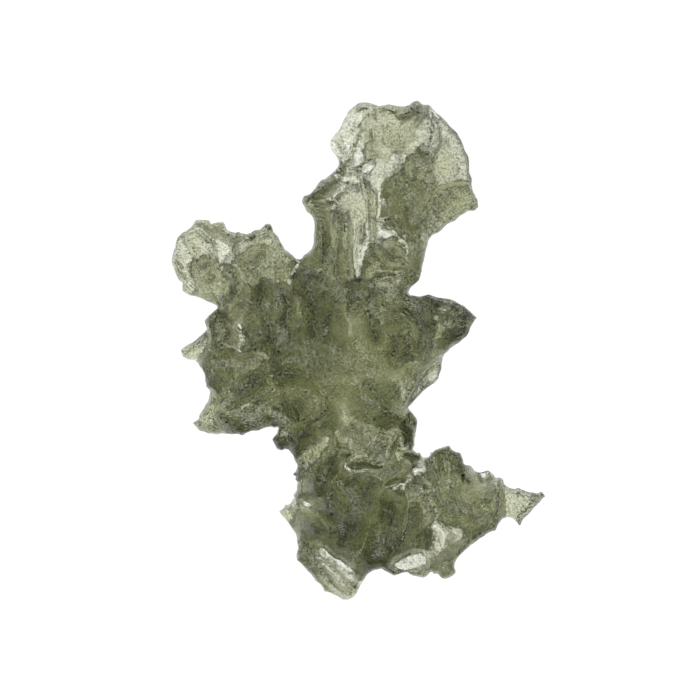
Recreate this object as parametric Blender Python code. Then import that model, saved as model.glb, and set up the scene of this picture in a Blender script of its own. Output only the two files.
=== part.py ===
"""A moldavite: one piece of natural green glass, flat and ragged, with a pitted and ridged skin.

The stone lies on a small flat spot at z = 0, with its broad side up. The plan below is drawn as the
stone is seen from above, x to the right and y down, on a grid of PLAN_UNIT.
"""
import math

import bmesh
import bpy
import numpy as np
from mathutils.geometry import delaunay_2d_cdt

# Driving dimensions
PLAN_UNIT = 0.00008  # metres for one unit of the plan, which makes the stone about 40 mm long
MM = 0.001
EDGE_HEIGHT = 0.28 * MM  # the broken edge all round is at least this high
EDGE_HEIGHT_MORE = 0.7 * MM  # and this much higher where it is bluntest
EDGE_ROUND = 0.4 * MM  # a side curves in over this distance and a share of the thickness
EDGE_ROUND_SHARE = 0.08
RIM_DROP = 0.7 * MM  # the upper face curves down by this much at the rim of thick glass
RIM_DROP_MORE = 0.7 * MM  # and by this much more where the rim is bluntest
HIGHEST = 5.0 * MM  # peaks are blunted, so that none stands further than this out of the middle level
SHARD_ROUND = 0.4 * MM  # a thin shard curves in over this one
CLIFF = 0.3 * MM  # a ledge falls to the shard beside it over this distance
EDGE_BLUNT = 6.0 * MM  # glass as thick as this has the bluntest edge
SHARD_TAPER = 2.5 * MM  # a thin shard thins out over this distance from the rim
REST_SPOT = (346, 372)  # middle of the flat spot, on the plan
REST_RADIUS = 3.8 * MM
BELLY_CURVE = 12.0 * MM  # radius of the belly round the flat spot
UPPER_SHARE = 0.56  # of the thickness lies above the middle level
LEVEL_REACH = 2.2 * MM  # heights of the middle level are smoothed over this reach
THICKNESS_REACH = 0.8 * MM  # and thicknesses over this one
RIDGE_FALL = 1.4  # power of a ridge's flank: above 1 it is hollow
FIRM = 3.5 * MM  # glass thinner than this is etched less

# Slow random waves: how far places drift and over what distance, and the distance between one blunt
# stretch of the edge and the next
DRIFT = 0.15 * MM
DRIFT_SIZE = 1.9 * MM
CURVE_WANDER = 0.5
CURVE_SIZE = 1.1 * MM
BLUNT_SIZE = 1.3 * MM

# The mesh: spacing on the plan, size of the even skin's cells, and what is left when it is thinned out
SPACING = 0.2 * MM
SKIN_CELL = 0.15 * MM
FACES_LEFT = 9200
THINNEST_FACE = 0.03 * MM
SLIVER_ROUNDS = 3

# The outline, clockwise, in stretches that start where one lobe meets the next
CROWN = [
    (338, 167), (339, 162), (336, 156), (331, 150), (330, 145), (331, 140), (335, 134), (339, 130),
    (342, 125), (345, 118), (349, 111), (353, 107), (358, 104), (364, 103), (371, 104), (379, 106),
    (389, 105), (399, 107), (409, 106), (413, 103), (417, 101), (420, 103), (423, 106),
]
FIN = [
    (428, 105), (432, 108), (436, 113), (443, 118), (451, 127), (457, 133), (461, 140), (465, 150),
    (468, 157), (469, 165), (469, 172), (472, 179), (471, 185), (474, 193), (477, 200), (478, 207),
    (475, 210), (467, 211), (460, 216), (455, 220), (447, 224), (442, 230), (437, 233), (432, 235),
]
NECK_RIGHT = [
    (429, 240), (427, 245), (425, 252), (423, 262), (420, 276), (418, 281), (414, 284), (410, 287),
    (408, 292), (409, 295),
]
WEDGE = [
    (413, 296), (420, 297), (429, 295), (437, 298), (444, 299), (450, 300), (456, 302), (463, 306),
    (469, 311), (473, 315), (476, 318), (473, 322), (470, 327), (468, 332), (465, 337), (460, 341),
    (454, 345), (449, 348), (446, 353), (443, 358),
]
WEDGE_SHARD = [
    (442, 362), (442, 367), (440, 372), (439, 378), (436, 382), (431, 385), (426, 389), (420, 394),
    (414, 401), (408, 408),
]
WAIST_RIGHT = [
    (412, 413), (416, 418), (417, 421), (416, 429), (415, 434), (414, 444), (412, 449), (416, 453),
    (420, 453), (422, 457), (425, 458), (429, 457),
]
ARM = [
    (431, 453), (436, 450), (442, 448), (449, 446), (451, 450), (456, 452), (460, 453), (462, 458),
    (463, 465), (466, 465), (471, 466), (473, 469), (477, 472), (480, 473), (484, 472), (488, 470),
    (491, 472), (494, 476), (496, 479), (499, 477), (502, 479), (504, 484), (508, 487),
]
ARM_TIP = [
    (514, 489), (519, 488), (525, 491), (530, 492), (538, 493), (541, 491), (545, 496), (541, 500),
    (536, 505), (531, 511), (527, 515), (523, 518), (520, 525), (517, 522), (513, 518), (507, 517),
]
ARM_UNDER = [
    (501, 519), (498, 523), (495, 530), (489, 531), (484, 535), (478, 538), (471, 544), (465, 549),
    (459, 555), (455, 561), (454, 566), (455, 572), (452, 575), (448, 577), (445, 578), (441, 577),
    (439, 574), (436, 572), (434, 574), (433, 571), (430, 571),
]
WINDOW_EDGE = [
    (427, 575), (423, 577), (417, 576), (411, 574), (407, 572), (400, 573), (394, 575), (389, 572),
    (385, 570), (381, 567), (378, 568), (372, 570),
]
FOOT = [
    (368, 572), (364, 578), (360, 585), (356, 594), (352, 598), (347, 600), (342, 599), (337, 596),
    (332, 593), (325, 591), (323, 587), (320, 583), (316, 580), (311, 573), (305, 567), (300, 561),
    (297, 559), (297, 554), (299, 548), (298, 541),
]
SIDE_SHARD = [
    (296, 534), (291, 527), (286, 520), (281, 514), (279, 512), (283, 509), (286, 505), (289, 506),
    (292, 502), (295, 498),
]
WAIST_LEFT = [
    (294, 494), (297, 490), (298, 482), (295, 479), (297, 476), (293, 474), (296, 472), (297, 469),
    (298, 465), (296, 461), (293, 455), (290, 449), (285, 448), (281, 450), (277, 448), (275, 443),
    (273, 439), (277, 434), (279, 428), (278, 426),
]
BELLY_EDGE = [
    (275, 427), (271, 426), (265, 427), (258, 430), (252, 430), (247, 432), (242, 435), (239, 433),
    (233, 434), (228, 433), (222, 433), (216, 434), (208, 433), (203, 431),
]
CORNER_SHARD = [
    (198, 430), (196, 426), (193, 423), (195, 422), (198, 420), (200, 414), (204, 409), (208, 402),
    (210, 396), (210, 390), (207, 387), (206, 381), (205, 374), (203, 370),
]
LEFT_SPIKE = [
    (200, 365), (196, 361), (193, 360), (188, 359), (183, 356), (181, 352), (180, 350), (182, 349),
    (186, 346), (191, 343), (197, 339), (202, 334), (208, 330),
]
SHOULDER = [(206, 325), (205, 321), (209, 316), (214, 312), (219, 307)]
PAW = [
    (213, 303), (206, 300), (198, 297), (190, 295), (186, 293), (183, 291), (183, 286), (184, 284),
    (179, 280), (176, 274), (174, 268), (172, 263), (173, 255), (175, 250), (176, 243), (178, 238),
    (182, 234), (185, 232), (189, 229), (193, 226), (196, 221), (203, 220), (209, 221), (211, 226),
    (213, 224), (217, 223), (222, 222), (224, 224), (226, 228), (228, 231), (235, 233), (241, 233),
    (247, 235), (251, 233), (256, 230), (261, 229), (264, 227), (266, 224), (270, 224), (272, 227),
    (273, 232), (278, 237), (281, 243), (285, 250), (291, 255), (296, 259),
]
NECK_LEFT = [
    (301, 260), (305, 255), (309, 253), (312, 249), (314, 243), (314, 236), (315, 230), (315, 221),
    (312, 216), (307, 211), (302, 202), (304, 197), (310, 195), (316, 188), (321, 181), (327, 178),
    (333, 173),
]
OUTLINE = (
    CROWN + FIN + NECK_RIGHT + WEDGE + WEDGE_SHARD + WAIST_RIGHT + ARM + ARM_TIP + ARM_UNDER
    + WINDOW_EDGE + FOOT + SIDE_SHARD + WAIST_LEFT + BELLY_EDGE + CORNER_SHARD + LEFT_SPIKE
    + SHOULDER + PAW + NECK_LEFT
)

# Glass at each place: plan x, plan y, thickness in mm
THICKNESS = [
    # crown and fin
    (340, 138, 3.8), (366, 104, 2.4), (355, 115, 2.0), (355, 150, 0.5), (376, 150, 4.2),
    (390, 133, 4.4), (378, 122, 3.8), (390, 113, 4.4), (410, 112, 4.8), (424, 128, 2.2),
    (430, 146, 3.2), (432, 117, 0.8), (431, 203, 3.8), (400, 160, 2.4), (418, 168, 6.2),
    (365, 172, 0.6), (346, 196, 4.0), (323, 188, 6.2), (329, 200, 2.0), (338, 176, 1.3),
    (308, 202, 5.2), (405, 190, 7.4), (383, 178, 3.4), (380, 203, 3.6), (408, 216, 11.0),
    (421, 215, 3.8), (417, 199, 8.4), (399, 216, 5.2), (358, 212, 3.2), (450, 150, 1.9),
    (312, 216, 6.0),
    # neck
    (385, 234, 2.0), (375, 228, 2.8), (330, 235, 5.4), (355, 248, 3.6), (357, 264, 2.2),
    (394, 230, 2.2), (344, 266, 6.6), (392, 258, 8.4), (422, 253, 6.4), (409, 253, 2.4),
    (416, 276, 8.0), (399, 278, 3.4), (375, 272, 5.4), (358, 278, 1.6), (324, 260, 5.8),
    (408, 291, 8.0),
    # paw
    (185, 255, 3.0), (215, 240, 1.6), (221, 264, 1.8), (190, 285, 2.6), (213, 294, 5.0),
    (245, 245, 3.4), (268, 236, 4.6), (256, 260, 6.8), (285, 262, 4.4), (235, 285, 6.2),
    (248, 282, 2.4), (262, 292, 9.3), (265, 277, 3.8), (275, 275, 6.8), (290, 300, 8.0),
    (245, 302, 8.4), (208, 272, 7.0), (235, 232, 5.6), (228, 250, 1.8), (201, 236, 3.4),
    (215, 224, 5.0), (180, 278, 3.6), (293, 288, 2.2), (296, 271, 2.2),
    # shoulder and left flank
    (212, 320, 6.8), (225, 333, 8.4), (240, 326, 1.8), (256, 328, 6.0), (266, 332, 7.4),
    (239, 351, 1.6), (248, 343, 3.4), (238, 361, 7.8), (217, 341, 2.2), (212, 353, 7.8),
    (205, 338, 3.0), (225, 370, 6.6), (268, 310, 8.6), (286, 322, 9.2), (293, 322, 4.8),
    (277, 343, 10.6), (269, 353, 3.6), (292, 345, 9.6), (250, 366, 6.2), (244, 389, 9.2),
    (247, 401, 4.2), (290, 372, 10.0), (265, 396, 6.6), (226, 405, 6.4), (250, 415, 5.0),
    (235, 425, 6.8), (275, 415, 4.6), (272, 382, 4.8), (292, 364, 6.0), (259, 379, 9.0),
    (233, 380, 4.0), (206, 384, 9.0), (297, 391, 5.0), (278, 448, 7.8), (258, 430, 7.6),
    (240, 434, 8.8), (217, 433, 7.5),
    # back and wedge
    (304, 287, 10.0), (318, 310, 11.4), (318, 334, 9.8), (335, 300, 8.4), (350, 330, 3.4),
    (335, 352, 8.2), (318, 362, 9.6), (322, 383, 8.4), (350, 370, 7.3), (375, 376, 6.0),
    (386, 300, 5.4), (348, 292, 8.2), (370, 300, 8.4), (375, 334, 10.0), (386, 340, 4.2),
    (395, 346, 9.0), (398, 320, 10.0), (421, 331, 10.0), (431, 338, 5.2), (410, 334, 5.6),
    (456, 342, 9.0), (449, 323, 5.6), (440, 309, 3.4), (464, 312, 6.0), (425, 358, 5.8),
    (412, 373, 6.4), (398, 380, 3.6), (402, 399, 3.6), (362, 345, 4.6), (301, 312, 5.2),
    (435, 297, 7.6),
    # waist
    (300, 407, 11.2), (317, 400, 4.2), (303, 433, 13.0), (294, 422, 5.8), (326, 418, 9.4),
    (286, 440, 8.2), (344, 412, 3.0), (340, 448, 9.8), (350, 440, 1.6), (375, 390, 8.4),
    (390, 410, 9.2), (370, 430, 6.4), (406, 420, 6.6), (397, 431, 4.2), (395, 445, 4.6),
    (326, 442, 2.2), (314, 446, 3.6), (313, 413, 6.4), (303, 456, 4.6), (300, 480, 5.0),
    (331, 466, 12.5), (321, 458, 3.4), (318, 486, 10.5), (362, 461, 6.6), (363, 471, 0.8),
    (380, 452, 6.8), (350, 468, 0.3), (416, 421, 6.4), (378, 418, 9.1), (386, 396, 7.0),
    # foot
    (345, 490, 7.0), (365, 488, 11.3), (394, 489, 0.2), (355, 512, 10.0), (385, 512, 11.8),
    (381, 496, 6.0), (332, 512, 11.4), (308, 502, 0.8), (318, 530, 12.5), (348, 530, 12.0),
    (390, 530, 8.4), (338, 547, 12.0), (395, 546, 10.4), (371, 561, 11.0), (362, 544, 6.4),
    (409, 519, 8.6), (305, 535, 6.4), (318, 552, 1.6), (340, 566, 0.2), (350, 573, 0.6),
    (329, 551, 1.0), (321, 560, 0.2), (324, 581, 5.6), (346, 593, 3.8), (369, 517, 6.8),
    (297, 558, 6.8), (310, 572, 6.0), (323, 520, 3.4),
    # arm
    (421, 465, 0.2), (447, 465, 7.2), (452, 492, 8.4), (420, 500, 6.0), (438, 532, 4.0),
    (455, 545, 3.0), (440, 519, 3.2), (447, 540, 3.0), (430, 545, 3.4), (430, 527, 3.4),
    (438, 552, 3.2), (470, 515, 7.6), (481, 514, 5.7), (462, 501, 6.2), (459, 529, 2.6),
    (486, 526, 8.0), (490, 496, 7.6), (483, 477, 0.2), (445, 570, 6.2), (512, 500, 1.3),
    (462, 552, 8.0), (420, 543, 7.2), (463, 482, 7.6), (411, 449, 5.4), (461, 458, 8.0),
    (440, 450, 7.6), (426, 453, 3.0), (390, 477, 8.0), (450, 510, 8.4),
]

# How high the middle of the glass lies at each place: plan x, plan y, height in mm
LEVELS = [
    (345, 372, 2.8), (350, 125, 5.4), (415, 112, 4.9), (455, 165, 3.5), (470, 205, 3.0),
    (308, 200, 5.4), (370, 215, 3.9), (190, 255, 4.9), (215, 225, 5.5), (268, 228, 4.0),
    (185, 351, 2.3), (208, 320, 5.0), (200, 425, 2.2), (240, 432, 3.8), (275, 438, 5.0),
    (470, 318, 5.5), (435, 375, 1.9), (415, 420, 4.3), (448, 452, 4.8), (490, 474, 3.3),
    (540, 495, 5.3), (490, 528, 3.8), (446, 575, 4.5), (415, 562, 3.3), (346, 594, 2.9),
    (298, 555, 4.6), (282, 512, 2.5), (300, 470, 4.4), (350, 500, 4.5), (250, 330, 3.8),
    (335, 540, 4.9), (385, 540, 4.7), (430, 340, 4.6), (346, 418, 2.4), (352, 328, 2.4),
    (398, 382, 2.4), (350, 445, 2.8), (318, 398, 2.8), (302, 430, 4.7), (302, 290, 4.6),
    (331, 465, 5.4), (405, 540, 5.4), (378, 330, 4.4), (290, 374, 4.6), (320, 484, 5.0),
]

# Thin shards beside a ledge: thickness in mm where they meet the ledge and at the rim, and the
# corners, which pass the outline on its side
SHARDS = {
    "fin": (2.9, 1.3, [
        (425, 98), (430, 115), (433, 128), (430, 150), (430, 166), (434, 182), (431, 195),
        (429, 214), (425, 240), (445, 245), (490, 215), (485, 160), (450, 105),
    ]),
    "fin's lower corner": (5.2, 3.2, [
        (431, 195), (440, 188), (455, 184), (475, 180), (490, 215), (445, 245), (425, 240), (429, 214),
    ]),
    "left spike": (1.3, 2.4, [
        (172, 352), (183, 340), (208, 322), (209, 340), (207, 349), (203, 358), (196, 370),
    ]),
    "corner": (2.7, 3.3, [
        (185, 424), (200, 404), (206, 386), (213, 391), (217, 399), (219, 408), (216, 415),
        (222, 424), (227, 440), (200, 440),
    ]),
    "wedge shard": (2.1, 1.4, [
        (452, 345), (441, 357), (430, 365), (421, 371), (418, 381), (410, 392), (404, 404),
        (404, 414), (450, 390), (455, 350),
    ]),
    "window": (0.8, 0.7, [
        (390, 566), (394, 558), (403, 553), (413, 549), (425, 549), (430, 557), (430, 567),
        (420, 570), (400, 571),
    ]),
    "arm tip": (2.3, 2.1, [
        (504, 478), (503, 492), (505, 500), (504, 509), (501, 524), (520, 535), (555, 496),
        (540, 480),
    ]),
    "side shard": (2.6, 2.4, [
        (270, 512), (290, 496), (298, 488), (298, 505), (296, 513), (297, 524), (299, 538),
        (288, 534),
    ]),
}

# Ridges and grooves of the upper face, place by place. Each holds its height in mm, which is below
# zero for a groove, its reach to the left and to the right of the line as drawn, in plan units, and
# the line itself.
CROWN_LINES = [
    (0.8, 5, 14, [
        (418, 100), (424, 116), (432, 128), (430, 150), (430, 167), (434, 182), (430, 205), (426, 236),
    ]),
    (0.9, 5, 6, [(336, 167), (350, 172), (362, 168), (371, 157), (376, 143), (373, 128)]),
    (1.2, 6, 5, [(350, 170), (362, 180), (369, 198), (371, 222), (373, 240), (380, 252)]),
    (1.0, 4, 6, [(370, 222), (384, 221), (396, 216)]),
    (1.4, 6, 7, [(302, 199), (316, 194), (326, 187), (338, 178)]),
    (1.0, 8, 8, [(396, 118), (410, 108), (422, 106)]),
    (-1.0, 9, 9, [(378, 228), (390, 242)]),
]
NECK_LINES = [
    (1.2, 6, 6, [(337, 204), (338, 232), (335, 258), (341, 288)]),
    (1.0, 6, 6, [(322, 212), (322, 240), (320, 264)]),
    (-1.0, 7, 7, [(353, 216), (354, 240), (353, 262), (357, 280)]),
    (1.6, 5, 7, [(377, 247), (386, 256), (396, 260), (406, 258)]),
    (1.0, 6, 10, [(366, 305), (366, 288), (376, 279), (392, 277), (408, 272)]),
]
PAW_LINES = [
    (1.4, 5, 7, [(214, 268), (226, 267), (236, 273), (240, 286), (235, 298), (225, 304)]),
    (1.6, 5, 7, [(244, 268), (256, 273), (264, 285), (263, 298), (256, 307)]),
    (1.4, 5, 8, [(262, 317), (270, 327), (272, 340), (264, 348)]),
    (1.3, 6, 8, [(280, 282), (287, 294), (290, 308), (286, 322), (288, 342)]),
]
FLANK_LINES = [
    (1.2, 6, 8, [(206, 322), (212, 335), (210, 352)]),
    (1.4, 6, 7, [(221, 320), (227, 332), (222, 343), (214, 356)]),
    (1.0, 5, 8, [(250, 346), (266, 344), (282, 354)]),
    (1.4, 8, 9, [(222, 408), (238, 398), (262, 379), (292, 371), (314, 376)]),
    (-1.0, 6, 8, [(234, 380), (248, 370), (262, 366)]),
    (-1.0, 7, 7, [(262, 404), (286, 392), (302, 388)]),
    (1.3, 7, 7, [(216, 412), (228, 424), (242, 433)]),
]
BACK_LINES = [
    (1.2, 8, 8, [(306, 262), (304, 284), (312, 306), (316, 340)]),
    (1.2, 4, 6, [(332, 308), (329, 325), (326, 344)]),
    (-0.9, 8, 8, [(342, 306), (350, 330), (346, 352)]),
    (0.7, 8, 8, [(410, 298), (428, 310), (446, 322), (474, 318)]),
    (1.3, 6, 6, [(366, 310), (370, 324), (379, 345)]),
    (1.2, 7, 7, [(390, 334), (398, 346), (390, 358)]),
    (-0.9, 6, 6, [(384, 340), (389, 344)]),
    (1.2, 7, 7, [(366, 382), (378, 396), (390, 409)]),
    (1.2, 7, 7, [(370, 419), (386, 412), (400, 418)]),
]
WAIST_LINES = [
    (1.5, 5, 6, [(318, 388), (326, 397), (326, 409), (316, 418), (306, 424)]),
    (-1.2, 6, 6, [(320, 434), (329, 436), (331, 450)]),
    (-1.0, 9, 9, [(338, 396), (345, 420), (352, 446)]),
    (-1.6, 6, 8, [(350, 452), (342, 468), (332, 486)]),
    (1.4, 5, 5, [(350, 463), (364, 459), (374, 464), (384, 466)]),
]
FOOT_LINES = [
    (-1.2, 4, 6, [(392, 482), (405, 484), (408, 500), (404, 520), (400, 540)]),
    (-1.2, 6, 4, [(392, 484), (380, 494), (372, 510), (367, 530), (360, 550)]),
    (-1.2, 4, 5, [(336, 482), (343, 496), (351, 511)]),
    (-1.6, 5, 7, [(302, 497), (312, 512), (324, 520), (334, 526)]),
    (-1.4, 5, 5, [(318, 543), (333, 557), (352, 572)]),
    (1.2, 4, 4, [(310, 550), (330, 568), (352, 590)]),
    (-1.2, 4, 4, [(320, 562), (338, 578), (350, 592)]),
]
ARM_LINES = [
    (1.0, 4, 12, [(431, 452), (432, 468), (436, 480)]),
    (1.2, 6, 7, [(462, 456), (464, 470), (472, 483)]),
    (1.2, 7, 9, [(500, 480), (500, 500), (494, 522)]),
    (1.1, 6, 10, [(458, 556), (472, 538), (490, 528)]),
    (-1.0, 12, 12, [(430, 518), (444, 532), (446, 552)]),
]
UPPER_LINES = (
    CROWN_LINES + NECK_LINES + PAW_LINES + FLANK_LINES + BACK_LINES + WAIST_LINES + FOOT_LINES
    + ARM_LINES
)

# Grooves and ridges of the underside, in the same way: they run out from the belly
LOWER_LINES = [
    (-1.2, 9, 14, [(352, 300), (362, 260), (380, 200), (392, 150)]),
    (-1.0, 12, 8, [(300, 330), (270, 305), (240, 285), (205, 262)]),
    (-1.0, 8, 10, [(300, 400), (268, 404), (232, 412)]),
    (-1.1, 12, 9, [(350, 440), (342, 480), (336, 530), (338, 570)]),
    (-1.0, 8, 12, [(385, 450), (420, 490), (455, 515), (500, 505)]),
    (-0.9, 8, 8, [(395, 345), (425, 332), (452, 322)]),
    (0.9, 6, 12, [(335, 190), (352, 150), (372, 120)]),
    (0.9, 10, 6, [(380, 500), (395, 540), (420, 560)]),
    (0.8, 6, 8, [(228, 320), (250, 340), (280, 350)]),
]

# Scallops etched into the upper and the lower face: size of a bowl in mm, depth in mm, seed
UPPER_SCALLOPS = [(2.8, 0.3, 11), (1.3, 0.25, 12)]
LOWER_SCALLOPS = [(3.8, 0.6, 21), (1.7, 0.3, 22)]
CREST = 0.6  # squared distance from a bowl's middle, in cells, at which its crest is reached
WAVE_TABLE = 64  # cells of random values along each side of a table, more than the stone needs

# The sides are hollowed and pushed out by waves, fully at UNDERCUT_LEVEL above or below the rim
UNDERCUT = 0.5 * MM
UNDERCUT_LEVEL = 1.4 * MM
UNDERCUT_SIZE = 2.0 * MM


def on_plan(points):
    """Plan points in metres, x to the right and y up, with the middle of the outline at the origin."""
    outline = np.array(OUTLINE, float)
    middle = (outline.min(0) + outline.max(0)) / 2
    return (np.atleast_2d(np.array(points, float)) - middle) * (PLAN_UNIT, -PLAN_UNIT)


def smooth(t):
    """Runs from 0 to 1 as t does, level at both ends."""
    t = np.clip(t, 0, 1)
    return t * t * (3 - 2 * t)


def nearest_on_line(places, line):
    """Distance from each place to a line of straight runs, the side it is on, and how far along it."""
    lengths = np.linalg.norm(np.diff(line, axis=0), axis=1)
    gone = np.concatenate([[0], np.cumsum(lengths)])
    best = np.full(len(places), np.inf)
    side, along = np.zeros(len(places)), np.zeros(len(places))
    for a, b, length, start in zip(line[:-1], line[1:], lengths, gone):
        way = (b - a) / length
        offset = places - a
        t = np.clip(offset @ way, 0, length)
        away = np.linalg.norm(offset - t[:, None] * way, axis=1)
        closer = away < best
        best[closer] = away[closer]
        turn = way[0] * offset[:, 1] - way[1] * offset[:, 0]
        side[closer] = np.sign(turn[closer])
        along[closer] = (start + t[closer]) / gone[-1]
    return best, side, along


def inside(places, corners):
    """True for each place within the closed ring of corners."""
    found = np.zeros(len(places), bool)
    x, y = places.T
    for (x0, y0), (x1, y1) in zip(corners, np.roll(corners, -1, axis=0)):
        if y0 != y1:
            crosses = (y0 > y) != (y1 > y)
            found ^= crosses & (x < (x1 - x0) * (y - y0) / (y1 - y0) + x0)
    return found


def depth_inside(places, corners):
    """Distance of each place from a ring's edge, above zero within it."""
    away = nearest_on_line(places, np.vstack([corners, corners[:1]]))[0]
    return np.where(inside(places, corners), away, -away)


def wander(places, size, seed):
    """Smooth random values from -1 to 1 that change over about size metres."""
    table = np.random.default_rng(seed).uniform(-1, 1, (WAVE_TABLE, WAVE_TABLE))
    cell = places / size + WAVE_TABLE / 2
    low = np.floor(cell).astype(int)
    fx, fy = smooth(cell - low).T
    x, y = low.T % WAVE_TABLE
    right, up = (x + 1) % WAVE_TABLE, (y + 1) % WAVE_TABLE
    lower = table[x, y] * (1 - fx) + table[right, y] * fx
    upper = table[x, up] * (1 - fx) + table[right, up] * fx
    return lower * (1 - fy) + upper * fy


def scallops(places, size, seed):
    """Shallow bowls that meet in sharp crests: 0 in the middle of a bowl, up to 1 on a crest."""
    jitter = np.random.default_rng(seed).uniform(0.05, 0.95, (WAVE_TABLE, WAVE_TABLE, 2))
    cell = places / size + WAVE_TABLE / 2
    low = np.floor(cell).astype(int)
    nearest = np.full(len(places), np.inf)
    for step in np.ndindex(3, 3):
        corner = low + step - (1, 1)
        middle = corner + jitter[tuple((corner % WAVE_TABLE).T)]
        nearest = np.minimum(nearest, ((cell - middle) ** 2).sum(axis=1))
    return np.minimum(nearest / CREST, 1)


def etching(places, layers):
    """How deep the skin is eaten away: all the layers of scallops together."""
    return sum(deep * MM * (1 - scallops(places, size * MM, seed)) for size, deep, seed in layers)


def between_places(places, table, reach):
    """The table's last column at each place, taken from its nearest points, smoothed over reach."""
    table = np.array(table, float)
    away = ((places[:, None] - on_plan(table[:, :2])) ** 2).sum(axis=2)
    weight = 1 / (away + reach * reach) ** 2
    return (weight @ table[:, 2]) / weight.sum(axis=1)


def line_relief(places, lines):
    """Height that ridges and grooves add, each fading towards its ends."""
    total = np.zeros(len(places))
    for height, left, right, points in lines:
        away, side, along = nearest_on_line(places, on_plan(points))
        reach = np.where(side > 0, left, right) * PLAN_UNIT
        flank = np.clip(1 - away / reach, 0, 1) ** RIDGE_FALL
        total += height * MM * flank * np.sqrt(4 * along * (1 - along))
    return total


def blunted(height):
    """The height, held back more and more the nearer it comes to the highest that peaks can be."""
    return HIGHEST * np.tanh(height / HIGHEST)


def faces_of_stone(places, outline):
    """Heights of the upper and lower face at each place on the plan."""
    rim = np.abs(depth_inside(places, outline))
    drift_x = wander(places, DRIFT_SIZE, seed=3)
    drift_y = wander(places, DRIFT_SIZE, seed=4)
    warped = places + DRIFT * np.stack([drift_x, drift_y], axis=1)
    middle = between_places(warped, LEVELS, LEVEL_REACH) * MM
    thick = between_places(warped, THICKNESS, THICKNESS_REACH) * MM
    firm = smooth(thick / FIRM)
    upper_skin = line_relief(warped, UPPER_LINES) - etching(warped, UPPER_SCALLOPS) * firm
    lower_skin = line_relief(warped, LOWER_LINES) - etching(warped, LOWER_SCALLOPS) * firm
    above = thick * UPPER_SHARE + upper_skin
    below = thick * (1 - UPPER_SHARE) + lower_skin
    curve = EDGE_ROUND + EDGE_ROUND_SHARE * thick
    curve *= 1 + CURVE_WANDER * wander(places, CURVE_SIZE, seed=7)
    blunt = smooth(wander(places, BLUNT_SIZE, seed=5)) * smooth(thick / EDGE_BLUNT)
    edge = EDGE_HEIGHT + EDGE_HEIGHT_MORE * blunt
    for by_ledge, by_rim, corners in SHARDS.values():
        share = smooth(depth_inside(warped, on_plan(corners)) / CLIFF + 0.5)
        thin = (by_rim + (by_ledge - by_rim) * smooth(rim / SHARD_TAPER)) * MM
        above += (thin / 2 - above) * share
        below += (thin / 2 - below) * share
        curve += (SHARD_ROUND - curve) * share
    above, below = blunted(above), blunted(below)
    swell = np.sqrt(1 - (1 - np.clip(rim / curve, 0, 1)) ** 2)
    drop = np.minimum(above, RIM_DROP + RIM_DROP_MORE * blunt)
    top = middle + np.maximum(above - drop * (1 - swell), edge / 2)
    bottom = middle - np.maximum(below * swell, edge / 2)
    from_spot = np.linalg.norm(places - on_plan([REST_SPOT]), axis=1)
    belly = (from_spot**2 - REST_RADIUS**2) / (2 * BELLY_CURVE)
    belly -= lower_skin * smooth(from_spot / REST_RADIUS - 0.5)
    return top, np.minimum(bottom, np.minimum(belly, top - edge))


def plan_points(outline, spacing):
    """Points along the outline and rows of points within it, as far apart as spacing."""
    ring = []
    for a, b in zip(outline, np.roll(outline, -1, axis=0)):
        steps = max(1, round(np.linalg.norm(b - a) / spacing))
        ring += [a + (b - a) * i / steps for i in range(steps)]
    ring = np.array(ring)
    low, high = outline.min(0), outline.max(0)
    row = spacing * math.sqrt(3) / 2
    columns = np.arange(low[0], high[0], spacing)
    rows = np.arange(low[1], high[1], row)
    grid = np.array([(x + (j % 2) * spacing / 2, y) for j, y in enumerate(rows) for x in columns])
    return ring, grid[depth_inside(grid, outline) > 0.55 * spacing]


def blank_mesh(name, outline, spacing):
    """One closed mesh: an upper and a lower face over the plan, and the rim between them."""
    ring, within = plan_points(outline, spacing)
    edges = [(i, (i + 1) % len(ring)) for i in range(len(ring))]
    flat = [tuple(p) for p in np.vstack([ring, within])]
    places, _, triangles, *_ = delaunay_2d_cdt(flat, edges, [], 1, 1e-9)
    places = np.array([tuple(p) for p in places])
    top, bottom = faces_of_stone(places, outline)
    mesh = bmesh.new()
    upper = [mesh.verts.new((*p, z)) for p, z in zip(places, top)]
    lower = [mesh.verts.new((*p, z)) for p, z in zip(places, bottom)]
    for triangle in triangles:
        mesh.faces.new([upper[i] for i in triangle])
        mesh.faces.new([lower[i] for i in reversed(triangle)])
    bmesh.ops.bridge_loops(mesh, edges=[e for e in mesh.edges if e.is_boundary])
    bmesh.ops.recalc_face_normals(mesh, faces=mesh.faces)
    data = bpy.data.meshes.new(name)
    mesh.to_mesh(data)
    mesh.free()
    return data


def even_skin(data, cell):
    """The same surface with its points evenly spread, down the sides as well."""
    blank = bpy.data.objects.new("blank", data)
    bpy.context.scene.collection.objects.link(blank)
    remesh = blank.modifiers.new("even skin", "REMESH")
    remesh.mode = "VOXEL"
    remesh.voxel_size = cell
    graph = bpy.context.evaluated_depsgraph_get()
    even = bpy.data.meshes.new_from_object(blank.evaluated_get(graph))
    bpy.data.objects.remove(blank, do_unlink=True)
    return even


def hollow_sides(mesh):
    """Shifts the skin sideways in soft waves, but not at the level of the rim."""
    points = np.empty(3 * len(mesh.vertices))
    mesh.vertices.foreach_get("co", points)
    points = points.reshape(-1, 3)
    x, y, z = points.T
    away = np.abs(z - between_places(points[:, :2], LEVELS, LEVEL_REACH) * MM)
    share = UNDERCUT * smooth(away / UNDERCUT_LEVEL)
    shift_x = share * wander(np.stack([y, z], axis=1), UNDERCUT_SIZE, seed=8)
    shift_y = share * wander(np.stack([x, z], axis=1), UNDERCUT_SIZE, seed=9)
    points[:, 0] += shift_x
    points[:, 1] += shift_y
    mesh.vertices.foreach_set("co", points.ravel())
    mesh.update()


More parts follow.
